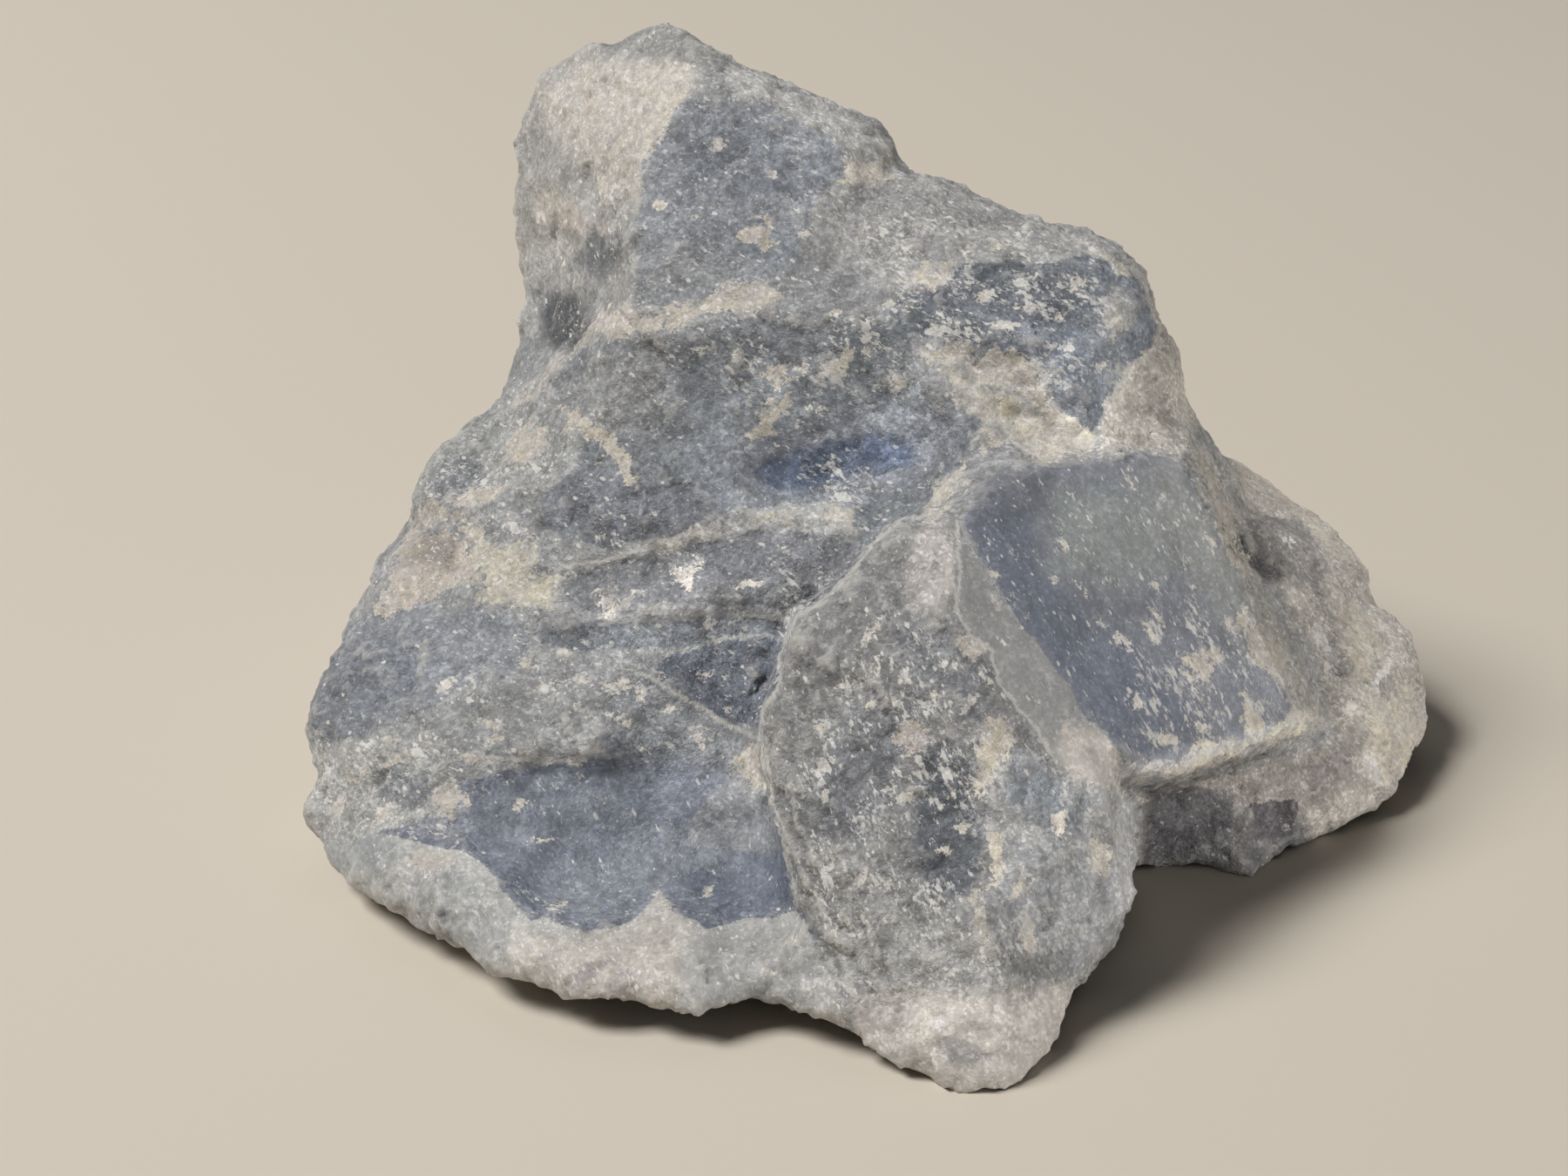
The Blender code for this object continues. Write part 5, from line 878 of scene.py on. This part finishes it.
def paint(mesh):
    """Gives each corner its tints with painted light and shade worked in, the depths inside crisp faces and patches,
    and how specked it is.
    """
    places = places_of(mesh)
    outward = normals_of(mesh)
    across, up, _ = seen(places)
    facing = ramp(outward @ TOWARD_EYE, -0.12, 0.12)
    wide_x = wander(places, 1.6, 3, (1.7, 5.5, 2.9))
    wide_y = wander(places, 1.6, 3, (6.3, 0.8, 4.4))
    warped_x = across + 0.3 * wide_x
    warped_y = up + 0.3 * wide_y

    clouds = wander(places, 7.0, 4, (3.9, 1.2, 6.6))
    layers = wander(places * np.array((0.55, 0.55, 1.6)), 3.2, 4, (0.9, 7.3, 2.1))
    deep, mid, pale = linear(HIDDEN_DEEP), linear(HIDDEN_MID), linear(HIDDEN_PALE)
    blend = 0.5 + 0.9 * clouds + 0.5 * layers
    hidden = np.where(
        blend[:, None] < 0.5,
        deep + (mid - deep) * ramp(blend, 0.05, 0.5)[:, None],
        mid + (pale - mid) * ramp(blend, 0.5, 1.0)[:, None],
    )
    shown = np.tile(linear(ROCK_GREY), (len(places), 1))
    for soft, tint, outline in GROUND.values():
        inside = ramp(depth_inside(warped_x, warped_y, outline), -soft, soft)[:, None]
        shown = shown + (linear(tint) - shown) * inside
    ground = hidden + (shown - hidden) * facing[:, None]

    face_depth, face_tint = crisp_faces(warped_x, warped_y, FACES)
    face_depth = face_depth * facing + OUTSIDE * (1.0 - facing)
    front_depth, front_tint = crisp_faces(across + 0.15 * wide_x, up + 0.15 * wide_y, FRONT)
    front_depth = front_depth * facing + OUTSIDE * (1.0 - facing)

    patch_depth = np.full(len(places), OUTSIDE)
    patch_tint = np.tile(linear(CREAM), (len(places), 1))
    for tint, inside in pale_spots(across, up, wide_x, wide_y):
        here = inside > patch_depth
        patch_depth = np.where(here, inside, patch_depth)
        patch_tint = np.where(here[:, None], linear(tint), patch_tint)
    back_patches = (wander(places, 4.6, 4, (5.2, 9.1, 0.4)) - 0.42) * 3.0
    patch_depth = back_patches * (1.0 - facing) + patch_depth * facing

    rim = np.full(len(places), FAR_OFF)
    for line in RIMS:
        gap, beyond = beside_line(across, up, line)
        gap = np.where((beyond > 0.3) | (facing < 0.5), FAR_OFF, gap)
        rim = np.where(np.abs(gap) < np.abs(rim), gap, rim)

    specks = 0.45 + 0.5 * clouds
    for share, outline in SPECKLED.values():
        inside = ramp(depth_inside(warped_x, warped_y, outline), -0.5, 0.5)
        specks = specks + (share - specks) * inside * facing
    sleek = np.zeros(len(places))
    for share, outline in SLEEK.values():
        sleek = np.maximum(sleek, share * ramp(depth_inside(warped_x, warped_y, outline), -0.2, 0.3) * facing)

    # Painted light and shade: the rock is painted lighter where the lamps leave it in shade and darker where they
    # light it most; a few zones are its own colour.
    light_and_tint_lift = np.ones((len(places), 3))
    for factor, soft, outline in LIGHT_AND_TINT_LIFTS.values():
        inside = ramp(depth_inside(across, up, outline), -soft, soft) * facing
        light_and_tint_lift = light_and_tint_lift * (1.0 + (np.asarray(factor) - 1.0) * inside[:, None])
    light_and_tint_lift = light_and_tint_lift / LIGHT_SHARE

    for name, tints in (("ground", ground), ("face", face_tint), ("front", front_tint), ("patch", patch_tint)):
        put_tint(mesh, name + "_tint", tints * light_and_tint_lift)
    for name, depth in (("face", face_depth), ("front", front_depth), ("patch", patch_depth)):
        put_value(mesh, name + "_depth", np.clip(depth, OUTSIDE, FAR_OFF))
    put_value(mesh, "specks", np.clip(specks, 0.0, 1.0))
    put_value(mesh, "rim", rim)
    put_value(mesh, "sleek", sleek)
    put_value(mesh, "ridge", sharpness(mesh, places, outward))


def sharpness(mesh, places, outward):
    """How far each corner stands out over the smoothed surface: high on ridges, below zero in creases."""
    even = relaxed(places, edges_of(mesh), *RIDGE_ROUNDS)
    return np.clip(np.einsum("ij,ij->i", places - even, outward) / RIDGE_HEIGHT, -2.0, 2.0)


def put_tint(mesh, name, tints):
    """Stores a colour at each corner."""
    layer = mesh.color_attributes.new(name, "FLOAT_COLOR", "POINT")
    whole = np.ones((len(tints), 4))
    whole[:, :3] = np.clip(tints, 0.0, 0.95)
    layer.data.foreach_set("color", whole.ravel())


def put_value(mesh, name, values):
    """Stores a number at each corner."""
    layer = mesh.attributes.new(name, "FLOAT", "POINT")
    layer.data.foreach_set("value", np.asarray(values, float))


# ---- material ----

def calcite_material():
    """Cloudy blue-grey calcite with cream patches, white specks and a sugary grain."""
    made = bpy.data.materials.new("calcite")
    made.use_nodes = True
    tree = made.node_tree
    shader = tree.nodes["Principled BSDF"]

    def node(kind, **settings):
        added = tree.nodes.new(kind)
        for key, value in settings.items():
            setattr(added, key, value)
        return added

    def link(source, target):
        tree.links.new(source, target)

    def put(socket, value):
        if isinstance(value, (int, float, tuple)):
            socket.default_value = value
        else:
            link(value, socket)

    def attribute(name, socket):
        found = node("ShaderNodeAttribute", attribute_name=name)
        return found.outputs[socket]

    def maths(operation, a, b):
        step = node("ShaderNodeMath", operation=operation)
        put(step.inputs[0], a)
        put(step.inputs[1], b)
        return step.outputs[0]

    def spread(value, low, high, out_low, out_high):
        step = node("ShaderNodeMapRange", clamp=True)
        link(value, step.inputs["Value"])
        for name, number in zip(("From Min", "From Max", "To Min", "To Max"), (low, high, out_low, out_high)):
            put(step.inputs[name], number)
        return step.outputs["Result"]

    def cloud(vector, scale, detail, rough):
        step = node("ShaderNodeTexNoise")
        link(vector, step.inputs["Vector"])
        step.inputs["Scale"].default_value = scale
        step.inputs["Detail"].default_value = detail
        step.inputs["Roughness"].default_value = rough
        return step.outputs["Fac"]

    def mixed(share, a, b, mode="MIX"):
        step = node("ShaderNodeMix", data_type="RGBA", blend_type=mode)
        for name, value in (("Factor", share), ("A", a), ("B", b)):
            put(step.inputs[name], value)
        return step.outputs["Result"]

    def times(tint, brightness):
        tone = node("ShaderNodeCombineColor")
        for socket in tone.inputs:
            link(brightness, socket)
        return mixed(1.0, tint, tone.outputs[0], "MULTIPLY")

    def over(share, tint, shade):
        return mixed(share, tint, (*surface(shade), 1.0))

    def both(a, share_a, b, share_b):
        return maths("ADD", maths("MULTIPLY", a, share_a), maths("MULTIPLY", b, share_b))

    def cells(vector, scale):
        step = node("ShaderNodeTexVoronoi", feature="F1")
        link(vector, step.inputs["Vector"])
        step.inputs["Scale"].default_value = scale
        split = node("ShaderNodeSeparateColor")
        link(step.outputs["Color"], split.inputs[0])
        return step.outputs["Distance"], split.outputs[0], split.outputs[1]

    def about_zero(value):
        return maths("SUBTRACT", value, 0.5)

    millimetres = node("ShaderNodeVectorMath", operation="SCALE")
    link(node("ShaderNodeTexCoord").outputs["Object"], millimetres.inputs[0])
    millimetres.inputs["Scale"].default_value = 1000.0
    place = millimetres.outputs[0]
    leaning = node("ShaderNodeMapping")
    link(place, leaning.inputs["Vector"])
    leaning.inputs["Rotation"].default_value = (EYE_ELEVATION, 0.0, 0.0)

    def drawn(angle, long, short):
        step = node("ShaderNodeMapping", vector_type="TEXTURE")
        link(leaning.outputs[0], step.inputs["Vector"])
        step.inputs["Rotation"].default_value = (0.0, math.radians(-angle), 0.0)
        step.inputs["Scale"].default_value = (long, 1.0, short)
        return step.outputs[0]

    ragged = about_zero(cloud(place, 1.7, 4.0, 0.72))
    crumbs = about_zero(cloud(place, 6.5, 2.0, 0.6))
    sleek = attribute("sleek", "Fac")

    # The dark faces lie over the ground, and the nearer pieces of the front over both.
    edge = both(ragged, spread(sleek, 0.0, 1.0, 0.62, 0.3), crumbs, 0.22)
    face_cover = spread(maths("ADD", attribute("face_depth", "Fac"), edge), -0.04, 0.05, 0.0, 1.0)
    tint = mixed(face_cover, attribute("ground_tint", "Color"), attribute("face_tint", "Color"))
    edge = both(ragged, 0.3, crumbs, 0.16)
    front_cover = spread(maths("ADD", attribute("front_depth", "Fac"), edge), -0.03, 0.04, 0.0, 1.0)
    tint = mixed(front_cover, tint, attribute("front_tint", "Color"))

    # The crystal is drawn out down to the right, more steeply in the front and in the sleek faces.
    lie = node("ShaderNodeMix", data_type="VECTOR")
    link(spread(maths("MAXIMUM", front_cover, sleek), 0.3, 0.301, 0.0, 1.0), lie.inputs["Factor"])
    link(drawn(*DRAWN_ON_SLOPE), lie.inputs["A"])
    link(drawn(*DRAWN_ON_FRONT), lie.inputs["B"])
    drawn_out = lie.outputs["Result"]

    # Broad clouds, then a mosaic of small crystal grains, a few of them much lighter.
    blotch = spread(cloud(drawn_out, 0.8, 3.0, 0.7), 0.32, 0.68, 0.74, 1.26)
    _, grain, grain_two = cells(place, 6.6)
    sugar = spread(maths("POWER", grain, 3.0), 0.0, 1.0, 0.87, 1.45)
    fine = spread(cloud(place, 2.6, 4.0, 0.85), 0.34, 0.66, 0.76, 1.24)
    calm = spread(sleek, 0.0, 1.0, 1.0, 0.5)
    brightness = maths("MULTIPLY", maths("MULTIPLY", blotch, sugar), fine)
    brightness = maths("ADD", 1.0, maths("MULTIPLY", maths("SUBTRACT", brightness, 1.0), calm))
    tint = times(tint, brightness)

    # Ridges and broken edges are whiter than the faces.
    worn = maths("ADD", attribute("ridge", "Fac"), maths("MULTIPLY", ragged, 2.2))
    tint = over(spread(worn, 0.35, 1.5, 0.0, 0.5), tint, WORN_WHITE)
    rim = maths("ADD", attribute("rim", "Fac"), maths("MULTIPLY", ragged, 0.7))
    tint = over(spread(maths("ABSOLUTE", rim, 0.0), 0.04, 0.13, 0.7, 0.0), tint, RIM_WHITE)

    # Cream patches with crumbling borders, rusty in places, with dark seams.
    patch = maths("ADD", attribute("patch_depth", "Fac"), both(ragged, 1.9, crumbs, 0.8))
    patch_cover = spread(patch, -0.04, 0.08, 0.0, 0.95)
    cream = times(attribute("patch_tint", "Color"), spread(cloud(place, 2.4, 3.0, 0.85), 0.36, 0.64, 0.7, 1.18))
    rust = spread(cloud(place, 0.9, 2.0, 0.6), 0.4, 0.6, 0.0, 1.0)
    hue = mixed(rust, (1.03, 1.0, 0.93, 1.0), (0.98, 0.96, 0.98, 1.0))
    cream = mixed(1.0, cream, hue, "MULTIPLY")
    seam = maths("ABSOLUTE", about_zero(cloud(drawn_out, 0.75, 4.0, 0.65)), 0.0)
    cream = over(spread(seam, 0.0, 0.03, 0.35, 0.0), cream, SEAM_GREY)
    tint = mixed(patch_cover, tint, cream)

    # White threads and flakes in clusters, and single white points.
    clusters = spread(cloud(place, 0.55, 2.0, 0.6), 0.38, 0.62, 0.1, 1.5)
    density = maths("MULTIPLY", attribute("specks", "Fac"), clusters)
    crowd = maths("MAXIMUM", density, maths("MULTIPLY", patch_cover, 0.85))
    tint = over(maths("MULTIPLY", spread(seam, 0.0, 0.018, 0.5, 0.0), crowd), tint, THREAD_WHITE)
    flakes = 0.0
    for scale, rare, common, share in FLAKE_SIZES:
        field = cloud(drawn_out, scale, 2.0, 0.62)
        level = spread(crowd, 0.0, 1.4, rare, common)
        flakes = maths("MAXIMUM", flakes, spread(maths("SUBTRACT", field, level), 0.0, 0.04, 0.0, share))
    gap, chosen, reach = cells(drawn_out, 2.5)
    gap = maths("ADD", gap, maths("MULTIPLY", crumbs, 0.45))
    near = spread(maths("SUBTRACT", gap, spread(reach, 0.0, 1.0, 0.1, 0.3)), -0.04, 0.04, 0.85, 0.0)
    picked = spread(maths("SUBTRACT", chosen, spread(crowd, 0.0, 1.2, 0.93, 0.5)), -0.01, 0.01, 0.0, 1.0)
    flakes = maths("MAXIMUM", flakes, maths("MULTIPLY", near, picked))
    flakes = maths("MULTIPLY", flakes, spread(grain_two, 0.0, 1.0, 0.7, 1.0))
    link(over(flakes, tint, POINT_WHITE), shader.inputs["Base Color"])

    rough = maths("ADD", spread(sleek, 0.0, 1.0, 0.6, 0.42), maths("MULTIPLY", about_zero(grain_two), 0.16))
    link(rough, shader.inputs["Roughness"])

    # Small facets, each leaning its own way, and a fine grain.
    lean_out = drawn(*DRAWN_IN_RELIEF)

    def leaning_facets(scale):
        step = node("ShaderNodeTexVoronoi", feature="F1")
        link(lean_out, step.inputs["Vector"])
        step.inputs["Scale"].default_value = scale
        away = node("ShaderNodeVectorMath", operation="SUBTRACT")
        link(lean_out, away.inputs[0])
        link(step.outputs["Position"], away.inputs[1])
        lean = node("ShaderNodeVectorMath", operation="SUBTRACT")
        link(step.outputs["Color"], lean.inputs[0])
        lean.inputs[1].default_value = (0.5, 0.5, 0.5)
        dot = node("ShaderNodeVectorMath", operation="DOT_PRODUCT")
        link(away.outputs[0], dot.inputs[0])
        link(lean.outputs[0], dot.inputs[1])
        return dot.outputs["Value"]

    height = maths("MULTIPLY", cloud(place, 2.6, 3.0, 0.75), 0.32)
    for scale, rise in BUMP_FACETS:
        height = maths("ADD", height, maths("MULTIPLY", leaning_facets(scale), rise))
    bump = node("ShaderNodeBump")
    link(height, bump.inputs["Height"])
    bump.inputs["Distance"].default_value = 0.001
    link(spread(sleek, 0.0, 1.0, 0.6, 0.15), bump.inputs["Strength"])
    link(bump.outputs["Normal"], shader.inputs["Normal"])

    shader.inputs["Subsurface Weight"].default_value = 0.2
    shader.inputs["Subsurface Radius"].default_value = (1.0, 1.05, 1.15)
    shader.inputs["Subsurface Scale"].default_value = 0.0016
    shader.inputs["IOR"].default_value = 1.49
    shader.inputs["Specular IOR Level"].default_value = 0.4
    return made


def calcite_surface():
    """The stone's finished surface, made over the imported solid."""
    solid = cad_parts["calcite"]
    stone = bpy.data.objects.new("calcite_surface", solid.data.copy())
    bpy.context.collection.objects.link(stone)
    stone.matrix_world = solid.matrix_world.copy()
    grain = stone.modifiers.new("grain", "REMESH")
    grain.mode = "VOXEL"
    grain.voxel_size = GRAIN_STEP / 1000.0
    settle(stone)
    smooth(stone.data, 3, 0.5)
    refine_front(stone.data)
    smooth(stone.data, 3, 0.5)
    noise.seed_set(BREAK_SEED)
    sharpen_steps(stone.data)
    smooth(stone.data, 1, 0.3)
    break_up(stone.data)
    paint(stone.data)
    stone.data.materials.clear()
    stone.data.materials.append(calcite_material())
    stone.data.polygons.foreach_set("use_smooth", [True] * len(stone.data.polygons))
    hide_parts("calcite")
    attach(stone, "root")
    return stone


# ---- table, light and eye ----

def table():
    """A plain pale table that runs out of sight."""
    shape = bmesh.new()
    bmesh.ops.create_grid(shape, x_segments=1, y_segments=1, size=TABLE_REACH)
    mesh = bpy.data.meshes.new("table")
    shape.to_mesh(mesh)
    shape.free()
    top = bpy.data.objects.new("table", mesh)
    bpy.context.collection.objects.link(top)
    made = bpy.data.materials.new("table")
    made.use_nodes = True
    shader = made.node_tree.nodes["Principled BSDF"]
    shader.inputs["Base Color"].default_value = (*linear(TABLE_TINT), 1.0)
    shader.inputs["Roughness"].default_value = 0.75
    shader.inputs["Specular IOR Level"].default_value = 0.25
    mesh.materials.append(made)


def light(name, place, aim, size, power, tint):
    """A soft square lamp."""
    lamp = bpy.data.lights.new(name, "AREA")
    lamp.shape = "SQUARE"
    lamp.size = size
    lamp.energy = power
    lamp.color = tint
    holder = bpy.data.objects.new(name, lamp)
    holder.location = place
    holder.rotation_euler = (Vector(aim) - Vector(place)).to_track_quat("-Z", "Y").to_euler()
    bpy.context.collection.objects.link(holder)
    return holder


def room(stone):
    """The soft light of a room, from above and from the left, and the stone's own inner spread of light."""
    scene = bpy.context.scene
    world = bpy.data.worlds.new("room")
    world.use_nodes = True
    back = world.node_tree.nodes["Background"]
    back.inputs["Color"].default_value = (0.84, 0.92, 1.0, 1.0)
    back.inputs["Strength"].default_value = 0.035
    scene.world = world
    lamps = {name: light(name, *settings) for name, settings in LAMPS.items()}
    lit = bpy.data.collections.new("stone")
    lit.objects.link(stone)
    lamps["inner glow"].light_linking.receiver_collection = lit
    scene.view_settings.view_transform = "Standard"
    scene.view_settings.look = "None"


def eye():
    """The eye that the photo was taken from."""
    scene = bpy.context.scene
    lens = bpy.data.cameras.new("eye")
    lens.lens = LENS
    lens.sensor_width = 36.0
    lens.clip_start = 0.005
    lens.clip_end = 10.0
    camera = bpy.data.objects.new("eye", lens)
    toward = Vector(TOWARD_EYE)
    camera.location = (Vector(SIGHT_ORIGIN) + toward * EYE_DISTANCE * STONE_SCALE) / 1000.0
    camera.rotation_euler = (-toward).to_track_quat("-Z", "Y").to_euler()
    bpy.context.collection.objects.link(camera)
    scene.camera = camera


stone = calcite_surface()
table()
room(stone)
eye()
